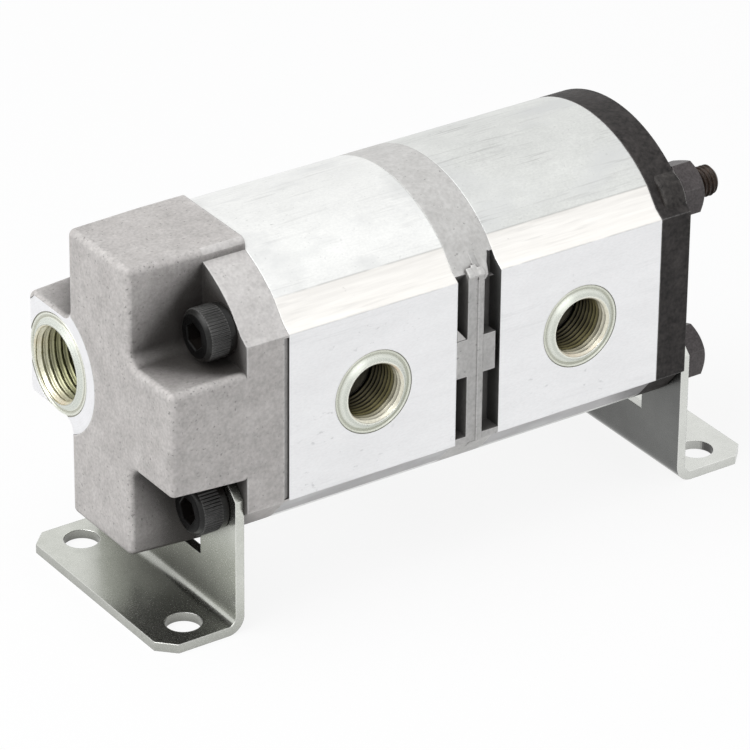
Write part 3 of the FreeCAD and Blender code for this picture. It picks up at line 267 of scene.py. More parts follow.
finishes = {
    "castAluminium": {
        "dark": (0.342, 0.325, 0.315), "pale": (0.595, 0.572, 0.556), "metal": 0.2, "rough": (0.5, 0.75),
        "cloud": 7, "mottle": 2.6, "grain": 0.8, "depth": 0.11, "round": 0.6, "wear": (0.5, 1.2),
        "recess": (0.95, 26, 0.06, 0.36), "specks": (0.75, 0.685, 0.45),
    },
    "castFlange": {
        "dark": (0.435, 0.428, 0.415), "pale": (0.64, 0.632, 0.618), "metal": 0.2, "rough": (0.5, 0.75),
        "cloud": 7, "mottle": 2.2, "grain": 0.9, "depth": 0.10, "round": 0.5, "wear": (0.55, 0.7),
        "recess": (0.80, 26, 0.09, 0.42), "specks": (0.9, 0.72, 0.5),
    },
    # the cover's flange behind the bolt heads, in a darker tone: painted shade
    "castFace": {
        "dark": (0.22, 0.212, 0.206), "pale": (0.36, 0.35, 0.34), "metal": 0.2, "rough": (0.5, 0.75),
        "cloud": 6, "mottle": 2.4, "grain": 0.8, "depth": 0.10, "round": 0.5, "wear": (0.4, 1.0),
        "recess": (0.95, 20, 0.1, 0.42), "specks": (0.9, 0.72, 0.4),
    },
    # the round rim of that flange, in a paler tone: painted light from above
    "castRim": {
        "dark": (0.45, 0.435, 0.425), "pale": (0.70, 0.68, 0.665), "metal": 0.2, "rough": (0.5, 0.75),
        "cloud": 7, "mottle": 2.6, "grain": 0.8, "depth": 0.09, "round": 0.5, "wear": (0.2, 0.8),
        "recess": (0.95, 10, 0.35, 0.5), "specks": (0.9, 0.72, 0.4),
    },
    "extrudedSkin": {
        "dark": (0.73, 0.735, 0.725), "pale": (0.865, 0.87, 0.855), "metal": 0.85, "rough": (0.36, 0.55),
        "cloud": 11, "mottle": 4, "grain": 0.45, "depth": 0.006, "stretch": (0.6, 1, 1), "round": 0.35,
        "wear": (0.14, 0.5), "recess": (0.8, 9, 0.2, 0.5), "scuffs": (0.30, 0.30, 0.295),
        "smear": ((0.60, 0.61, 0.61), 0.6), "streaks": 0.22, "lines": (creaseMark, cornerMark),
        "specks": (0.8, 0.70, 0.14),
    },
    # the upper shoulders: a paler, warmer copy of the skin, painted light
    "shoulderSkin": {
        "dark": (0.79, 0.772, 0.74), "pale": (0.93, 0.915, 0.885), "metal": 0.85, "rough": (0.32, 0.5),
        "cloud": 4, "mottle": 2.4, "grain": 0.8, "depth": 0.010, "stretch": (0.06, 1, 1), "round": 0.35,
        "wear": (0.4, 0.5), "recess": (0.7, 9, 0.25, 0.5), "scuffs": (0.42, 0.41, 0.39),
        "streaks": 0.25, "lines": (creaseMark, cornerMark),
    },
    "milledFace": {
        "dark": (0.815, 0.817, 0.825), "pale": (0.925, 0.927, 0.935), "metal": 0.85, "rough": (0.32, 0.48),
        "cloud": 10, "mottle": 4, "grain": 0.4, "depth": 0.008, "stretch": (0.4, 1, 1), "round": 0.35,
        "wear": (0.4, 0.4), "recess": (0.8, 9, 0.2, 0.5), "scuffs": (0.45, 0.45, 0.46),
        "streaks": 0.10, "lines": (cornerMark,),
    },
    "turnedFace": {
        "dark": (0.78, 0.78, 0.79), "pale": (0.92, 0.92, 0.94), "metal": 0.7, "rough": (0.28, 0.42),
        "cloud": 6, "grain": 0.4, "depth": 0.006, "round": 0.3, "wear": (0.3, 0.4),
        "recess": (0.5, 5, 0.35, 0.5), "turned": (inletLine, 0.3, 0.25),
    },
    "inletPlating": {
        "dark": (0.60, 0.62, 0.54), "pale": (0.84, 0.85, 0.77), "metal": 0.75, "rough": (0.22, 0.4),
        "cloud": 3, "grain": 0.4, "depth": 0.006, "round": 0.25, "wear": (0.45, 0.3),
        "recess": (0.5, 4, 0.3, 0.5), "turned": (inletLine, 0.6, 0.9),
        "bands": ((13.1, 0.14, (0.50, 0.50, 0.42), 0.8), (12.0, 0.16, (0.46, 0.46, 0.38), 0.8),
                  (10.9, 0.45, (0.62, 0.66, 0.62), 0.6)),
    },
    "outletPlating": {
        "dark": (0.60, 0.62, 0.54), "pale": (0.86, 0.87, 0.78), "metal": 0.75, "rough": (0.22, 0.4),
        "cloud": 3, "grain": 0.4, "depth": 0.006, "round": 0.25, "wear": (0.45, 0.3),
        "recess": (0.5, 4, 0.35, 0.5), "turned": (outletLine, 0.6, 0.9),
        "bands": ((10.95, 0.14, (0.50, 0.50, 0.42), 0.5), (10.0, 0.16, (0.46, 0.47, 0.40), 0.8),
                  (9.05, 0.45, (0.64, 0.67, 0.63), 0.5)),
    },
    "inletThreads": {
        "dark": (0.56, 0.55, 0.42), "pale": (0.90, 0.88, 0.73), "metal": 0.8, "rough": (0.25, 0.4),
        "cloud": 4, "grain": 0.4, "depth": 0.01, "round": 0.12, "wear": (0.2, 0.2),
        "recess": (0.88, 16, 0.45, 0.45), "smear": ((0.60, 0.42, 0.26), 0.45),
        "fade": ((1, 0, 0), -85.2, 5.0, (0.25, 0.255, 0.13), 0.9),
    },
    "outletThreads": {
        "dark": (0.60, 0.58, 0.47), "pale": (0.93, 0.90, 0.77), "metal": 0.8, "rough": (0.25, 0.4),
        "cloud": 4, "grain": 0.4, "depth": 0.01, "round": 0.12, "wear": (0.1, 0.2),
        "recess": (0.95, 18, 0.50, 0.36), "smear": ((0.60, 0.36, 0.20), 0.5),
        "fade": ((0, 1, 0), -33.0, 3.4, (0.165, 0.145, 0.052), 0.96),
    },
    # the bores behind the threads: a near-black tone, painted shade
    "oilyBore": {
        "dark": (0.035, 0.032, 0.022), "pale": (0.10, 0.09, 0.06), "metal": 0.6, "rough": (0.25, 0.45),
        "cloud": 3, "grain": 0.4, "depth": 0.02, "round": 0.2, "wear": (0.1, 0.2),
        "recess": (0.8, 10, 0.3, 0.4),
    },
    "blackIron": {
        "dark": (0.004, 0.0037, 0.0036), "pale": (0.064, 0.058, 0.056), "metal": 0.1, "rough": (0.5, 0.75),
        "gloss": 0.20, "cloud": 5, "mottle": 2.2, "grain": 1.0, "depth": 0.14, "round": 0.6,
        "wear": (0.32, 0.7), "recess": (0.85, 8, 0.15, 0.4),
    },
    "zincSteel": {
        "dark": (0.52, 0.535, 0.49), "pale": (0.69, 0.70, 0.655), "metal": 1.0, "rough": (0.21, 0.29),
        "cloud": 10, "grain": 0.35, "depth": 0.002, "round": 0.4, "wear": (0.7, 0.35),
        "recess": (0.85, 22, 0.24, 0.6), "scuffs": (0.30, 0.30, 0.28),
    },
    "blackSteel": {
        "dark": (0.002, 0.002, 0.002), "pale": (0.020, 0.020, 0.019), "metal": 0.12, "rough": (0.24, 0.38),
        "gloss": 0.3, "cloud": 2, "grain": 0.3, "depth": 0.012, "round": 0.22, "wear": (0.16, 0.3),
        "recess": (0.85, 6, 0.2, 0.5),
    },
    "studSteel": {
        "dark": (0.006, 0.005, 0.004), "pale": (0.060, 0.038, 0.027), "metal": 0.4, "rough": (0.28, 0.45),
        "gloss": 0.3, "cloud": 2.5, "grain": 0.3, "depth": 0.012, "round": 0.12, "wear": (0.15, 0.2),
        "recess": (0.6, 3, 0.3, 0.5),
    },
    "darkNutSteel": {
        "dark": (0.030, 0.026, 0.026), "pale": (0.105, 0.094, 0.095), "metal": 0.5, "rough": (0.35, 0.5),
        "gloss": 0.4, "cloud": 2, "grain": 0.5, "depth": 0.02, "round": 0.5, "wear": (0.14, 0.5),
        "recess": (0.7, 5, 0.25, 0.5),
    },
    "gearSteel": {
        "dark": (0.42, 0.42, 0.43), "pale": (0.58, 0.58, 0.59), "metal": 1.0, "rough": (0.20, 0.35),
        "cloud": 5, "grain": 0.3, "depth": 0.01, "stretch": (1, 0.3, 0.3), "round": 0.2,
        "wear": (0.3, 0.3), "recess": (0.6, 4, 0.3, 0.5),
    },
    "bushAlloy": {
        "dark": (0.60, 0.60, 0.58), "pale": (0.74, 0.74, 0.72), "metal": 0.8, "rough": (0.35, 0.5),
        "cloud": 6, "grain": 0.4, "depth": 0.02, "round": 0.3, "wear": (0.3, 0.4),
        "recess": (0.6, 4, 0.3, 0.5),
    },
    "bearingBronze": {
        "dark": (0.42, 0.27, 0.12), "pale": (0.62, 0.43, 0.22), "metal": 0.9, "rough": (0.25, 0.4),
        "cloud": 4, "grain": 0.3, "depth": 0.01, "round": 0.2, "wear": (0.3, 0.3),
        "recess": (0.5, 3, 0.3, 0.5),
    },
    "sealRubber": {
        "dark": (0.012, 0.012, 0.012), "pale": (0.03, 0.03, 0.03), "metal": 0.0, "rough": (0.5, 0.7),
        "cloud": 3, "grain": 0.3, "depth": 0.01, "round": 0.3, "wear": (0.04, 0.3),
        "recess": (0.4, 3, 0.3, 0.5),
    },
}


# A finish that differs from another in a few values
def variant(name, base, **changes):
    finishes[name] = {**finishes[base], **changes}


# The middle flange's flat sides and its parting strip
variant("castRib", "castFlange", dark=(0.36, 0.354, 0.346), pale=(0.58, 0.572, 0.56))
# The rounded edges of the cross get a paler copy, partly rubbed wear and partly a painted highlight, and have
# more pits
variant("castEdge", "castAluminium", dark=(0.355, 0.338, 0.328), pale=(0.625, 0.602, 0.585),
        wear=(0.38, 0.8), specks=(0.75, 0.66, 0.5))
# The second section gets a darker copy of the skin, painted shade, and more streaks
variant("dullSkin", "extrudedSkin", dark=(0.57, 0.58, 0.565), pale=(0.74, 0.75, 0.73), streaks=0.42)
# The shoulders underneath get a darker tone: painted shade
variant("underSkin", "dullSkin", dark=(0.34, 0.335, 0.34), pale=(0.52, 0.515, 0.52))
# The rear cover's bosses get a paler iron with lighter edges: a painted highlight
variant("bossIron", "blackIron", pale=(0.085, 0.078, 0.074), wear=(0.8, 0.5))
# The rear bracket gets a paler copy of the zinc, a painted reflection of the white surroundings on its foot,
# and on its upright's faces turned to -X a painted dark reflection of the body's underside
variant("brightZinc", "zincSteel", dark=(0.60, 0.61, 0.58), pale=(0.74, 0.75, 0.715),
        recess=(0.6, 22, 0.36, 0.6), facing=((-1, 0, 0), (0.17, 0.17, 0.175), 0.97))
# Fronts and sockets of the bolts, darker still: painted shade
variant("headFace", "blackSteel", dark=(0.001, 0.001, 0.001), pale=(0.006, 0.006, 0.006), gloss=0.07,
        wear=(0.03, 0.3))


# The tone from dark to pale, the grain, and what the bump follows
def groundPattern(finish, look):
    sizes = {"mottle": look["cloud"] / 3, **look}
    noises, shares = {}, []
    for name, (detail, shift, gain, share) in toneLayers.items():
        noises[name] = finish.noise(sizes[name], detail, look.get("stretch", (1, 1, 1)), shift)
        shares.append(noises[name].contrast(gain) * share)
    tone = shares[0] + shares[1] + shares[2]
    grain = noises["grain"]
    if "turned" not in look:
        return tone, grain, grain
    centreLine, spacing, strength = look["turned"]
    marks = finish.rings(finish.offLine(*centreLine), spacing)
    return tone * (1 - strength) + marks.contrast(toolMarks["contrast"]) * strength, grain, marks


# Oily patches, rubs, scratches and lines that handling and the die leave
def addMarks(finish, look, colour):
    if "smear" in look:
        smearTone, strength = look["smear"]
        colour = finish.mix(finish.patch("oily") * strength, colour, smearTone)
    if "scuffs" in look:
        rubs = finish.patch("handled") * finish.patch("rubs")
        colour = finish.mix(rubs * rubStrength, colour, look["scuffs"])
    if "streaks" in look:
        scratches = finish.patch("scratches") * finish.patch("scratchedPlaces")
        colour = finish.mix(scratches * look["streaks"], colour, look["scuffs"])
    for across, up, strength in look.get("lines", ()):
        distance = finish.offLine(sectionMiddle, (0, 1, 1), (0, across, up))
        marked = distance.below(dieLine["half"], dieLine["border"]) * finish.patch("brokenLine")
        colour = finish.mix(marked * strength, colour, look["scuffs"])
    return colour


# Tones that go by place or by the way a face looks: painted shade in rings and deep in the bores, and a
# painted dark reflection on faces turned one way
def addPlacedTones(finish, look, colour):
    # painted shade: dark lines and a shaded band in rings about the port
    for radius, half, ringShadeTone, strength in look.get("bands", ()):
        ringShade = (finish.offLine(*look["turned"][0]) - radius).size().below(half, half)
        colour = finish.mix(ringShade * strength, colour, ringShadeTone)
    # painted shade, darker deeper inside the bore
    if "fade" in look:
        axis, start, length, deepShadeTone, strength = look["fade"]
        colour = finish.mix(finish.along(axis).above(start, length) * strength, colour, deepShadeTone)
    # painted dark reflection on the faces that look one way
    if "facing" in look:
        axis, shade, strength = look["facing"]
        turnedTo = finish.vector("DOT_PRODUCT", finish.flat(), axis, out="Value").above(*facingLimit)
        colour = finish.mix(turnedTo * finish.uneven("shade") * strength, colour, shade, "MULTIPLY")
    return colour


# Edges made lighter, partly rubbed wear and partly a painted highlight, pits, and painted shade in the
# hollows
def addWear(finish, look, colour, rubbedAndLit):
    # edges made lighter: partly rubbed wear, partly a painted highlight
    lighter = rubbedAndLit * finish.uneven("polish") * look["wear"][0]
    colour = finish.mix(lighter, colour, rubbedAndLitTone, "SCREEN")
    if "specks" in look:
        size, limit, strength = look["specks"]
        dots = finish.noise(size, pit["detail"], shift=pit["shift"]) + rubbedAndLit * pit["onEdges"]
        pitTone = tuple(pit["tone"] * c for c in look["dark"])
        colour = finish.mix(dots.above(limit, pit["border"]) * strength, colour, pitTone)
    # painted shade: hollows and corners darken towards this tone
    darkness, reach, start, span = look["recess"]
    return finish.mix(finish.hollows(reach, start, span) * darkness, colour, hollowShadeTone)


def makeFinish(name, look):
    finish = Finish(name)
    tone, grain, marks = groundPattern(finish, look)
    rounded, edge = finish.edges(look["round"])
    wearAndHighlightWidth = look["wear"][1]
    rubbedAndLit = finish.edges(wearAndHighlightWidth)[1] if wearAndHighlightWidth > look["round"] else edge
    colour = finish.mix(tone, look["dark"], look["pale"])
    colour = addMarks(finish, look, colour)
    colour = addPlacedTones(finish, look, colour)
    colour = addWear(finish, look, colour, rubbedAndLit)
    low, high = look["rough"]
    roughness = grain.contrast(roughContrast) * (high - low) + low
    sockets = {"Strength": 1.0, "Distance": look["depth"] * mm, "Height": marks, "Normal": rounded}
    bump = finish.add("ShaderNodeBump", {}, sockets)
    return finish.close(colour, roughness, bump, look["metal"], look.get("gloss", 0.5))


made = {name: makeFinish(name, look) for name, look in finishes.items()}
print("materials:", len(made))


# Mesh helpers, in mm
roundSteps = 96  # sides of the ports' rings
stepsPerTurn = 9  # rings in one turn of a thread
overlap = 0.02  # how far pieces that touch run into each other
near = 0.05  # how far from a face's plane its centre may be
margin = 0.1  # how far past a radius it may be


# An edge that bends by more than sharp, in degrees, stays sharp
def newPiece(name, mesh, materials, sharp=32):
    piece = bpy.data.objects.new(name, mesh)
    bpy.context.scene.collection.objects.link(piece)
    mesh.materials.clear()
    for material in materials:
        mesh.materials.append(made[material])
    mesh.polygons.foreach_set("use_smooth", [True] * len(mesh.polygons))
    mesh.set_sharp_from_angle(angle=math.radians(sharp))
    mesh.update()
    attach(piece, "housing")
    return piece


# Gives a finish to the faces that a test picks by their centre and normal, the centre in mm
def paint(piece, finishName, test):
    index = list(piece.data.materials).index(made[finishName])
    for face in piece.data.polygons:
        if test(face.center / mm, face.normal):
            face.material_index = index


def meshOf(name, parts):
    bm = bmesh.new()
    for verts, faces, move in parts:
        points = [bm.verts.new((move @ Vector(v)) * mm) for v in verts]
        for face in faces:
            bm.faces.new([points[i] for i in face])
    bmesh.ops.recalc_face_normals(bm, faces=bm.faces)
    mesh = bpy.data.meshes.new(name)
    bm.to_mesh(mesh)
    bm.free()
    return mesh


# Rings along local x, each a plain radius or a radius for every angle; a loop closes on itself
def ringStack(rings, around, loop=False):
    verts = []
    for along, radius in rings:
        for step in range(around):
            angle = 2 * math.pi * step / around
            size = radius(angle, along) if callable(radius) else radius
            verts.append((along, size * math.cos(angle), size * math.sin(angle)))
    count = len(rings)
    faces = []
    for ring in range(count if loop else count - 1):
        here, there = ring * around, (ring + 1) % count * around
        for step in range(around):
            after = (step + 1) % around
            faces.append((here + step, here + after, there + after, there + step))
    if not loop:
        faces.append(tuple(range(around)))
        faces.append(tuple(range((count - 1) * around, count * around)))
    return verts, faces


# A prism from one end to the other: place turns a point of the profile and an end into x, y, z
def prism(profile, ends, place):
    verts = [place(*point, end) for end in ends for point in profile]
    count = len(profile)
    faces = [tuple(range(count)), tuple(range(count, 2 * count))]
    faces += [(k, (k + 1) % count, count + (k + 1) % count, count + k) for k in range(count)]
    return verts, faces


# A shape on both sides of the axis, made by a function of the side
def bothSides(shape):
    return [(*shape(side), Matrix.Identity(4)) for side in (-1, 1)]


def hexagon(flats):
    def radius(angle, along):
        within = angle % (math.pi / 3) - math.pi / 6
        return flats / 2 / math.cos(within)
    return radius


# Rounded thread between two radii, right-handed along x
def thread(crest, root, pitch):
    def radius(angle, along):
        wave = 0.5 + 0.5 * math.cos(2 * math.pi * (along / pitch - angle / (2 * math.pi)))
        return root + (crest - root) * wave
    return radius


def steps(start, end, size):
    count = max(1, round((end - start) / size))
    return [start + (end - start) * step / count for step in range(count + 1)]


# The solid of a CAD node as one clean mesh, for a piece that stands in for it
def solidOf(node, weld=0.002, flatAngle=0.3):
    bm = bmesh.new()
    bm.from_mesh(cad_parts[node].data)
    bmesh.ops.remove_doubles(bm, verts=bm.verts, dist=weld * mm)
    bmesh.ops.dissolve_limit(bm, angle_limit=math.radians(flatAngle), verts=bm.verts, edges=bm.edges)
    mesh = bpy.data.meshes.new(node + "_solid")
    mesh.from_pydata([v.co[:] for v in bm.verts], [], [[v.index for v in f.verts] for f in bm.faces])
    bm.free()
    return mesh


def addModifier(piece, kind, settings):
    modifier = piece.modifiers.new(kind, kind)
    for name, value in settings.items():
        setattr(modifier, name, value)


# Takes a mesh through modifiers, each given as its kind and settings
def modified(mesh, modifiers):
    holder = bpy.data.objects.new("holder", mesh)
    bpy.context.scene.collection.objects.link(holder)
    for kind, settings in modifiers:
        addModifier(holder, kind, settings)
    graph = bpy.context.evaluated_depsgraph_get()
    result = bpy.data.meshes.new_from_object(holder.evaluated_get(graph))
    bpy.data.objects.remove(holder)
    return result


def cutAway(mesh, cutters):
    tools = [bpy.data.objects.new("cutter", meshOf("cutter", [cutter])) for cutter in cutters]
    for tool in tools:
        bpy.context.scene.collection.objects.link(tool)
    cuts = [("BOOLEAN", {"operation": "DIFFERENCE", "solver": "EXACT", "object": tool}) for tool in tools]
    result = modified(mesh, cuts)
    for tool in tools:
        bpy.data.objects.remove(tool)
    return result


def facesFront(normal):
    return normal.x < -0.99


# Neither towards the ends nor square to a side
def slopes(normal):
    return abs(normal.x) < 0.1 and abs(normal.y) < 0.95


intoPlusY = Matrix.Rotation(math.pi / 2, 4, "Z")

# Ports: radii of the thread's crest and root, its pitch, and the radii of the mouth, of the bore
# that the thread is set in and of the ring; how far the lip stands out of the face; the thread's
# length from the lip; and the radius, half width and height of the low ring on the collar's foot
inletPort = {
    "crest": 9.315, "root": 10.15, "pitch": 1.814, "mouth": 10.0, "sleeve": 10.19, "ring": 13.2,
    "face": spotFace, "lip": 0.85, "length": 16.7, "ridge": (12.65, 0.30, 0.30),
    "cone": 12.0, "lipEdge": ((0, 0.06), (0.1, 0.2)), "coneInside": 0.03,
}
outletPort = {
    "crest": 7.475, "root": 8.15, "pitch": 1.337, "mouth": 7.95, "sleeve": 8.34, "ring": 11.0,
    "face": -sideCorner[0], "lip": 0.85, "length": 13.6, "ridge": (10.6, 0.32, 0.32),
}


def threadSleeve(port):
    turns = thread(port["crest"], port["root"], port["pitch"])

    def wall(angle, along):
        return min(max(turns(angle, along), port["mouth"] - along), port["sleeve"] - overlap)

    inner = [(along, wall) for along in steps(0, port["length"], port["pitch"] / stepsPerTurn)]
    outer = port["sleeve"] + overlap / 2
    return ringStack(inner + [(port["length"], outer), (0, outer)], roundSteps, loop=True)


def ridgeRing(port, sunk=0.4, crown=0.1):
    radius, half, height = port["ridge"]
    base = port["lip"] + sunk
    rim, top = base - height, base - height - crown
    profile = [(base, -1.3), (rim, -0.8), (top, -0.3), (top, 0.3), (rim, 0.8), (base, 1.3)]
    return ringStack([(along, radius + half * share) for along, share in profile], roundSteps, loop=True)


def collarCone(port, sunk=0.35):
    inner, foot = port["sleeve"] - port["coneInside"], port["lip"] + sunk
    lip = [(along, port["sleeve"] + out) for along, out in port["lipEdge"]]
    return ringStack([(0, inner), *lip, (foot, port["cone"]), (foot, inner)], roundSteps, loop=True)


def sleeveCutter(port, before=3):
    return ringStack([(-before, port["sleeve"]), (port["length"] + overlap, port["sleeve"])], roundSteps)


# Inlet cover: the cast cross, the turned face and the port with its collar and thread
cover = {
    # how far back the rounded front edges reach, and which normals they have along X
    "edgeDepth": 2.5, "edgeSlant": (-0.97, -0.15),
    # from the axis, where the edges at the ends of the arms and of the bar start
    "armEnd": 28, "barEnd": 36,
    "spotReach": 18,  # the turned face ends within this radius
    "ringDepth": 0.4,  # from the turned face to the ring's floor
    "arcStart": 22.4,  # above the axis, where the flange's round rim starts
}


def fromInlet(point):
    return math.hypot(point.y - inletAcross, point.z - inletHeight)


def onCrossEdge(point, normal):
    least, most = cover["edgeSlant"]
    rim = point.x < endFace + cover["edgeDepth"] and least < normal.x < most
    corner = abs(normal.x) < 0.3 and min(abs(normal.y), abs(normal.z)) > 0.2
    outer = abs(point.y) > cover["armEnd"] or abs(point.z - axisHeight) > cover["barEnd"]
    outer = outer and point.x < flangeFront - 0.5
    return (rim or corner and outer) and fromInlet(point) > inletPort["ring"] + 2 * margin


def onFlangeFace(point, normal):
    return facesFront(normal) and abs(point.x - flangeFront) < near


def onSpotFace(point, normal):
    level = facesFront(normal) and abs(point.x - spotFace) < near
    return level and fromInlet(point) < cover["spotReach"]


def onInletRing(point, normal):
    behind = point.x - spotFace
    return fromInlet(point) < inletPort["ring"] + margin and near < behind < cover["ringDepth"]


def inInletBore(point, normal):
    return fromInlet(point) < inletPort["sleeve"] + margin and point.x > spotFace + cover["ringDepth"]


def onFlangeArc(point, normal):
    return slopes(normal) and point.x > flangeFront + 0.3 and point.z > axisHeight + cover["arcStart"]


def addInletCover():
    move = Matrix.Translation((inletPort["face"] - inletPort["lip"], inletAcross, inletHeight))
    casting = newPiece(
        "inletCoverCasting", cutAway(solidOf("inlet_cover"), [(*sleeveCutter(inletPort), move)]),
        ["castAluminium", "castFace", "turnedFace", "inletPlating", "oilyBore", "castRim", "castEdge"],
        sharp=28)
    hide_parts("inlet_cover")
    paint(casting, "castEdge", onCrossEdge)
    paint(casting, "castFace", onFlangeFace)
    paint(casting, "turnedFace", onSpotFace)
    paint(casting, "inletPlating", onInletRing)
    paint(casting, "oilyBore", inInletBore)
    paint(casting, "castRim", onFlangeArc)
    parts = [(*part(inletPort), move) for part in (threadSleeve, ridgeRing, collarCone)]
    sleeve = newPiece("inletThread", meshOf("inletThread", parts), ["inletThreads", "inletPlating"],
                      sharp=50)
    paint(sleeve, "inletPlating", lambda p, n: n.x < -0.9 or fromInlet(p) > inletPort["sleeve"] + overlap)
    return len(casting.data.polygons)


# A cast slope half fills the groove beside the front joint: its two ends along X, their places
# across, the groove's floor, and how far it runs up and down
seam = {"along": (-1.42, -0.02), "across": (33.2, 32.8), "floor": 31.6, "reach": 21.6}


def addSeamFill():
    (start, end), (high, low) = seam["along"], seam["across"]
    profile = [(start, high), (end, low), (end, seam["floor"]), (start, seam["floor"])]

    def slope(side):
        return prism(profile, (-seam["reach"], seam["reach"]),
                     lambda along, across, up: (frontJoint + along, side * across, axisHeight + up))

    newPiece("coverSeamFill", meshOf("coverSeamFill", bothSides(slope)), ["castFace"])


print("inlet cover:", addInletCover(), "faces")
addSeamFill()


# Section bodies: where their finishes start, across from the axis
section = {
    "shoulderFrom": 26.7, "sideFrom": 33, "collarFrom": -32.8, "boreEnd": -14,
    "underBelow": 20,  # this far under the axis the shoulders get painted shade
}


# Keeps the crease of the die sharp
def markCrease(mesh):
    across, up = shoulderCrease

    def onCrease(end):
        return abs(abs(end.y) - across) < near and abs(abs(end.z - axisHeight) - up) < near

    for edge in mesh.edges:
        if all(onCrease(mesh.vertices[i].co / mm) for i in edge.vertices):
            edge.use_edge_sharp = True


def onShoulder(point, normal):
    return slopes(normal) and abs(point.y) > section["shoulderFrom"]


def underneath(point, normal):
    return onShoulder(point, normal) and point.z < axisHeight - section["underBelow"]


def onMilledSide(point, normal):
    return abs(normal.y) > 0.99 and abs(point.y) > section["sideFrom"]


def addSection(number, centre):
    def fromOutlet(point):
        return math.hypot(point.x - centre, point.z - axisHeight)

    def onCollar(point, normal):
        onFace = normal.y < -0.99 and abs(point.y - outletPort["face"]) < near
        outside = point.y < section["collarFrom"] and not onFace
        return outside and fromOutlet(point) < outletPort["ring"] + margin

    def inOutletBore(point, normal):
        inside = section["collarFrom"] < point.y < section["boreEnd"]
        return inside and fromOutlet(point) < outletPort["sleeve"] + margin

    lip = outletPort["face"] - outletPort["lip"]
    move = Matrix.Translation((centre, lip, axisHeight)) @ intoPlusY
    node = f"section_body_{number}"
    skin = "extrudedSkin" if number == 1 else "dullSkin"
    body = newPiece(
        f"sectionBody{number}", cutAway(solidOf(node), [(*sleeveCutter(outletPort), move)]),
        [skin, "shoulderSkin", "milledFace", "outletPlating", "oilyBore", "underSkin"],
        sharp=28)
    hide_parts(node)
    markCrease(body.data)
    paint(body, "shoulderSkin", onShoulder)
    paint(body, "underSkin", underneath)
    paint(body, "milledFace", onMilledSide)
    paint(body, "outletPlating", onCollar)
    paint(body, "oilyBore", inOutletBore)
    parts = [(*part(outletPort), move) for part in (threadSleeve, ridgeRing)]
    sleeve = newPiece(f"outletThread{number}", meshOf("outletThread", parts),
                      ["outletThreads", "outletPlating"], sharp=50)
    paint(sleeve, "outletPlating", lambda p, n: n.y < -0.9 or fromOutlet(p) > outletPort["sleeve"] + 0.5)


for number, centre in enumerate(outletCentres, 1):
    addSection(number, centre)
print("section bodies and port threads")


# Middle flange: the rounded corner between pocket and gap, the raised strip beside the parting
# line, the broken gate on top of the rib, and the wedges in the pockets in front of it. Places
# along X count from the front of the flange, across and up from the axis.
flange = {
    "shoulder": (30.6, 24.2),
    "strip": ((5.75, -0.1), (5.95, 0.24), (7.35, 0.30), (7.78, -0.1)),  # along, and proud of the side
    "stripEnd": 27.5, "stripRoot": -0.1,
    "stripHeight": {-1: 1.0, 1: 0.13},  # the strip on the +Y side is nearly flush
    "corner": [(7.81, 20.9), (8.5, 21.9), (9.3, 23.0), (10.1, 24.2), (10.8, 25.3), (11.31, 26.2),
               (11.5, 26.2), (11.5, 20.9)],
    "cornerDepth": (28.4, 36),
    # along, up the shoulder, then the size along, up and out
    "gate": [(5.45, 0.7, 4.7, 1.6, 1.6), (3.95, 1.5, 1.5, 2.2, 1.9), (5.7, 2.1, 1.5, 2.2, 1.6),
             (7.1, 1.2, 1.4, 1.9, 2.0)],
    "gateSkin": {"mode": "VOXEL", "voxel_size": 0.12 * mm},
    "gateSmoothing": {"factor": 0.5, "iterations": 14},
    "wedge": [(-0.02, 6.1), (3.05, 6.1), (-0.02, 9.7)], "wedgeDepth": (28.4, 33.2),
    "wedgeRim": {"width": 0.3 * mm, "segments": 2, "limit_method": "ANGLE", "angle_limit": math.radians(40)},
}


# A prism across each side of the flange, with a profile along and up
def sidePrisms(profile, depth):
    def shape(side):
        return prism(profile, depth,
                     lambda along, up, across: (middleJoint + along, side * across, axisHeight + up))

    return bothSides(shape)


# Both flat sides, from shoulder to shoulder, as a strip with the given profile
def sideStrips():
    (creaseAcross, creaseUp), (across, up) = shoulderCrease, flange["shoulder"]
    slope = (creaseAcross - across) / (creaseUp - up)
    tip = (across + slope * (flange["stripEnd"] - up), flange["stripEnd"])
    path = [tip, flange["shoulder"], sideCorner]
    path += [(across, -up) for across, up in reversed(path)]
    count, rows = len(path), len(flange["strip"])
    faces = [(r * count + k, r * count + k + 1, (r + 1) % rows * count + k + 1, (r + 1) % rows * count + k)
             for r in range(rows) for k in range(count - 1)]
    faces += [tuple(r * count + last for r in range(rows)) for last in (0, count - 1)]

    def strip(side):
        verts = []
        for along, proud in flange["strip"]:
            for number, (across, up) in enumerate(path):
                atTip = number in (0, count - 1)
                height = flange["stripRoot"] if atTip else proud * flange["stripHeight"][side]
                factor = 1 + height / math.hypot(across, up)
                verts.append((middleJoint + along, side * across * factor, axisHeight + up * factor))
        return verts, faces

    return bothSides(strip)


def block(x, y, z):
    return prism([(-1, -1), (1, -1), (1, 1), (-1, 1)], (-1, 1),
                 lambda a, c, b: (a * x / 2, b * y / 2, c * z / 2))


# The gate's stubs run into each other: one skin is drawn over the blocks and smoothed
def gateMesh():
    start = Vector((0, -sideCorner[0], sideCorner[1]))
    climb = (Vector((0, -flange["shoulder"][0], flange["shoulder"][1])) - start).normalized()
    out = Vector((0, -climb.z, climb.y))
    turn = Matrix(((1, 0, 0), (0, climb.y, out.y), (0, climb.z, out.z))).to_4x4()
    parts = []
    for along, up, x, y, z in flange["gate"]:
        place = start + climb * up + Vector((middleJoint + along, 0, axisHeight))
        parts.append((*block(x, y, z), Matrix.Translation(place) @ turn))
    stages = [("REMESH", flange["gateSkin"]), ("SMOOTH", flange["gateSmoothing"])]
    return modified(meshOf("lump", parts), stages)


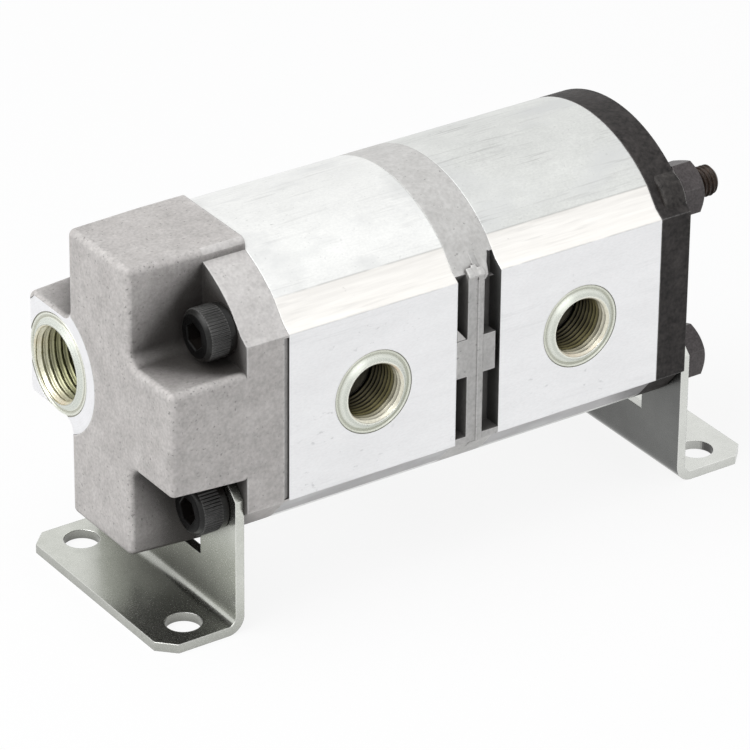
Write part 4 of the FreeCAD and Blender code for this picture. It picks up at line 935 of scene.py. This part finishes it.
def addMiddleFlange():
    corners = sidePrisms(flange["corner"], flange["cornerDepth"])
    casting = newPiece("middleFlangeCasting", cutAway(solidOf("middle_flange"), corners),
                       ["castFlange", "castRib"], sharp=28)
    paint(casting, "castRib", lambda p, n: abs(n.y) > 0.9)
    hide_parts("middle_flange")
    newPiece("flangePartingStrip", meshOf("flangePartingStrip", sideStrips()), ["castRib"])
    newPiece("flangeGateStub", gateMesh(), ["castFlange"], sharp=70)
    wedges = meshOf("flangePocketWedges", sidePrisms(flange["wedge"], flange["wedgeDepth"]))
    piece = newPiece("flangePocketWedges", wedges, ["castFlange"])
    addModifier(piece, "BEVEL", flange["wedgeRim"])


addMiddleFlange()
print("middle flange details")


# Tie bolts with knurled heads, sockets and threaded ends; along X a bolt counts from under its head
tieBolt = {
    "head": 6.65, "knurls": 50, "knurlDepth": 0.30, "height": 8,
    "socket": 6, "socketDepth": 4, "socketRim": 0.22,
    # behind the head's front: the rounded edge with its radii, and where knurls and collar are
    "edge": ((0, 5.1), (0.10, 5.45), (0.35, 5.85), (0.65, 6.15), (0.8, 6.25)), "edgeEnd": 1.0,
    "knurled": (1.15, 6.05), "plain": 6.45, "collar": (6.2, 7.75), "rim": 0.25,
    "shank": 4.0, "threadRoot": 3.4, "pitch": 1.25, "threadFrom": 134, "runOut": 0.3, "length": 143.5,
    "tip": 0.9, "sides": 40,
    "turns": ((0.35, 0.9), (0.1, 0.6)),  # how the heads are turned, upper pair and lower pair
    "front": 5.3,  # the radius of the front's painted shade
}


def boltParts():
    b = tieBolt
    socket = hexagon(b["socket"])
    turns = thread(b["shank"] - overlap, b["threadRoot"], b["pitch"])
    face = -b["height"]

    def wideSocket(angle, along):
        return socket(angle, along) + b["socketRim"]

    def knurl(angle, along):
        return b["head"] - b["knurlDepth"] * (0.5 - 0.5 * math.cos(b["knurls"] * angle))

    def stud(angle, along):
        return min(turns(angle, along), b["shank"] - b["tip"] + (b["length"] - along))

    head = [(face + b["socketDepth"], socket), (face + b["rim"], socket), (face, wideSocket)]
    head += [(face + behind, radius) for behind, radius in b["edge"]]
    head += [(face + b["edgeEnd"], b["head"] - b["knurlDepth"])]
    head += [(face + behind, knurl) for behind in b["knurled"]]
    head += [(face + behind, b["plain"]) for behind in b["collar"]]
    head += [(0, b["plain"] - b["rim"])]
    shank = [(-1, b["shank"]), (b["threadFrom"] - b["runOut"], b["shank"])]
    shank += [(along, stud) for along in steps(b["threadFrom"], b["length"], b["pitch"] / stepsPerTurn)]
    return [ringStack(head, b["knurls"] * 4), ringStack(shank, b["sides"])]


def onHeadFront(point, normal):
    off = min(math.hypot(abs(point.y) - boltAcross, point.z - height) for height in boltHeights)
    return point.x < flangeFront and off < tieBolt["front"]


def addTieBolts():
    places = []
    # the lower heads hold the bracket's sheet
    for height, under, turns in zip(boltHeights, (0, sheetThickness), tieBolt["turns"]):
        for side, turn in zip((-1, 1), turns):
            place = Matrix.Translation((flangeFront - under, side * boltAcross, height))
            places.append(place @ Matrix.Rotation(turn, 4, "X"))
    mesh = meshOf("tieBoltSet", [(*part, place) for place in places for part in boltParts()])
    bolts = newPiece("tieBoltSet", mesh, ["blackSteel", "studSteel", "headFace"], sharp=35)
    paint(bolts, "studSteel", lambda p, n: p.x > flangeRear)
    paint(bolts, "headFace", onHeadFront)
    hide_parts("tie_bolts")
    return len(mesh.polygons)


print("tie bolts:", addTieBolts(), "faces")


# Round bosses on the rear cover's upper shoulders, behind the upper bolts
boss = {
    "front": 58.4, "radius": 8.0, "round": 0.8, "rear": 0.3, "across": 23.5, "up": 77.9,
    "steps": 5, "sides": 72,
}


def addBosses():
    rings = [(boss["front"], boss["radius"] - boss["round"])]
    for step in range(1, boss["steps"] + 1):
        angle = math.pi / 2 * step / boss["steps"]
        rings.append((boss["front"] + boss["round"] * (1 - math.cos(angle)),
                      boss["radius"] - boss["round"] * (1 - math.sin(angle))))
    rings += [(flangeRear - boss["rear"], boss["radius"]), (flangeRear - near, boss["radius"] - boss["rear"])]
    shape = ringStack(rings, boss["sides"])
    parts = [(*shape, Matrix.Translation((0, side * boss["across"], boss["up"]))) for side in (-1, 1)]
    newPiece("rearCoverBosses", meshOf("rearCoverBosses", parts), ["bossIron"])


addBosses()
print("rear cover bosses")


# Solids that stay as they are and get their finish
nodeFinish = {
    "blackIron": ["rear_cover"],
    "zincSteel": ["front_bracket"],
    "brightZinc": ["rear_bracket"],
    "darkNutSteel": ["tie_nuts"],
    "gearSteel": ["drive_gear_1", "drive_gear_2", "driven_gear_1", "driven_gear_2", "shaft_coupling",
                  "dowel_pins"],
    "bushAlloy": ["front_bush_1", "rear_bush_1", "front_bush_2", "rear_bush_2"],
    "bearingBronze": ["bearing_sleeves_1", "bearing_sleeves_2"],
    "sealRubber": ["bush_seals_1", "bush_seals_2", "joint_seal_1", "joint_seal_2", "joint_seal_3",
                   "joint_seal_4"],
}
for finishName, nodes in nodeFinish.items():
    for node in nodes:
        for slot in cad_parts[node].material_slots:
            slot.material = made[finishName]
print("node materials")


# Floor, light and camera, in metres, with the camera's angles in degrees and its lens in mm
stage = {"floorSize": 8.0, "floorTone": (0.86, 0.86, 0.86), "floorGlow": 0.88, "lampAim": (0, 0, 0.05)}
lamps = {
    "keyLamp": {"place": (-1.0, 0.05, 1.15), "size": 1.6, "power": 12.8},
    "sideLamp": {"place": (-0.1, -1.5, 0.75), "size": 1.0, "power": 2.2},
    "topLamp": {"place": (-0.5, 0.1, 1.45), "size": 1.7, "power": 9.3},
    "backLamp": {"place": (0.75, -0.4, 1.25), "size": 0.8, "power": 0.5},
}
worldLight = {"tone": (0.95, 0.96, 0.98), "strength": 0.42}
view = {
    "turn": 34.36, "height": 28.62, "roll": 0.57, "distance": 1.267, "lens": 247.2, "sensor": 36,
    "aim": (0.00693, 0, 0.060), "slide": (-0.0109, -0.0227), "clip": (0.05, 50),
}
white = (1, 1, 1, 1)


def addFloor():
    half = stage["floorSize"] / 2
    corners = [(-half, -half, 0), (half, -half, 0), (half, half, 0), (-half, half, 0)]
    mesh = bpy.data.meshes.new("floor")
    mesh.from_pydata(corners, [], [(0, 1, 2, 3)])
    floor = bpy.data.objects.new("floor", mesh)
    bpy.context.scene.collection.objects.link(floor)
    paper = Finish("floorPaper")
    matt = paper.add("ShaderNodeBsdfDiffuse", {}, {"Color": (*stage["floorTone"], 1)})
    glow = paper.add("ShaderNodeEmission", {}, {"Color": white, "Strength": 1.0})
    share = paper.seen() * stage["floorGlow"]
    both = paper.add("ShaderNodeMixShader", {}, {0: share, 1: matt, 2: glow})
    paper.add("ShaderNodeOutputMaterial", {}, {"Surface": both})
    mesh.materials.append(paper.material)


def addWorld():
    world = bpy.data.worlds.new("studio")
    world.use_nodes = True
    bpy.context.scene.world = world
    sky = Nodes(world.node_tree)
    tone = (*worldLight["tone"], 1)
    light = sky.add("ShaderNodeBackground", {}, {"Color": tone, "Strength": worldLight["strength"]})
    backdrop = sky.add("ShaderNodeBackground", {}, {"Color": white, "Strength": 1.0})
    both = sky.add("ShaderNodeMixShader", {}, {0: sky.seen(), 1: light, 2: backdrop})
    sky.add("ShaderNodeOutputWorld", {}, {"Surface": both})


def addLamps():
    for name, look in lamps.items():
        lamp = bpy.data.lights.new(name, "AREA")
        lamp.shape = "DISK"
        lamp.size = look["size"]
        lamp.energy = look["power"]
        holder = bpy.data.objects.new(name, lamp)
        holder.location = look["place"]
        aim = Vector(stage["lampAim"]) - holder.location
        holder.rotation_euler = aim.to_track_quat("-Z", "Y").to_euler()
        bpy.context.scene.collection.objects.link(holder)


def addCamera():
    camera = bpy.data.cameras.new("photoCamera")
    camera.lens = view["lens"]
    camera.sensor_width = view["sensor"]
    camera.clip_start, camera.clip_end = view["clip"]
    holder = bpy.data.objects.new("photoCamera", camera)
    turned = (Matrix.Rotation(math.radians(-view["turn"]), 4, "Z")
              @ Matrix.Rotation(math.radians(90 - view["height"]), 4, "X")
              @ Matrix.Rotation(math.radians(view["roll"]), 4, "Z"))
    slide = Vector((*view["slide"], view["distance"]))
    holder.matrix_world = Matrix.Translation(Vector(view["aim"]) + turned @ slide) @ turned
    bpy.context.scene.collection.objects.link(holder)
    bpy.context.scene.camera = holder


addFloor()
addWorld()
addLamps()
addCamera()
bpy.context.scene.view_settings.view_transform = "Standard"
print("floor, light and camera")
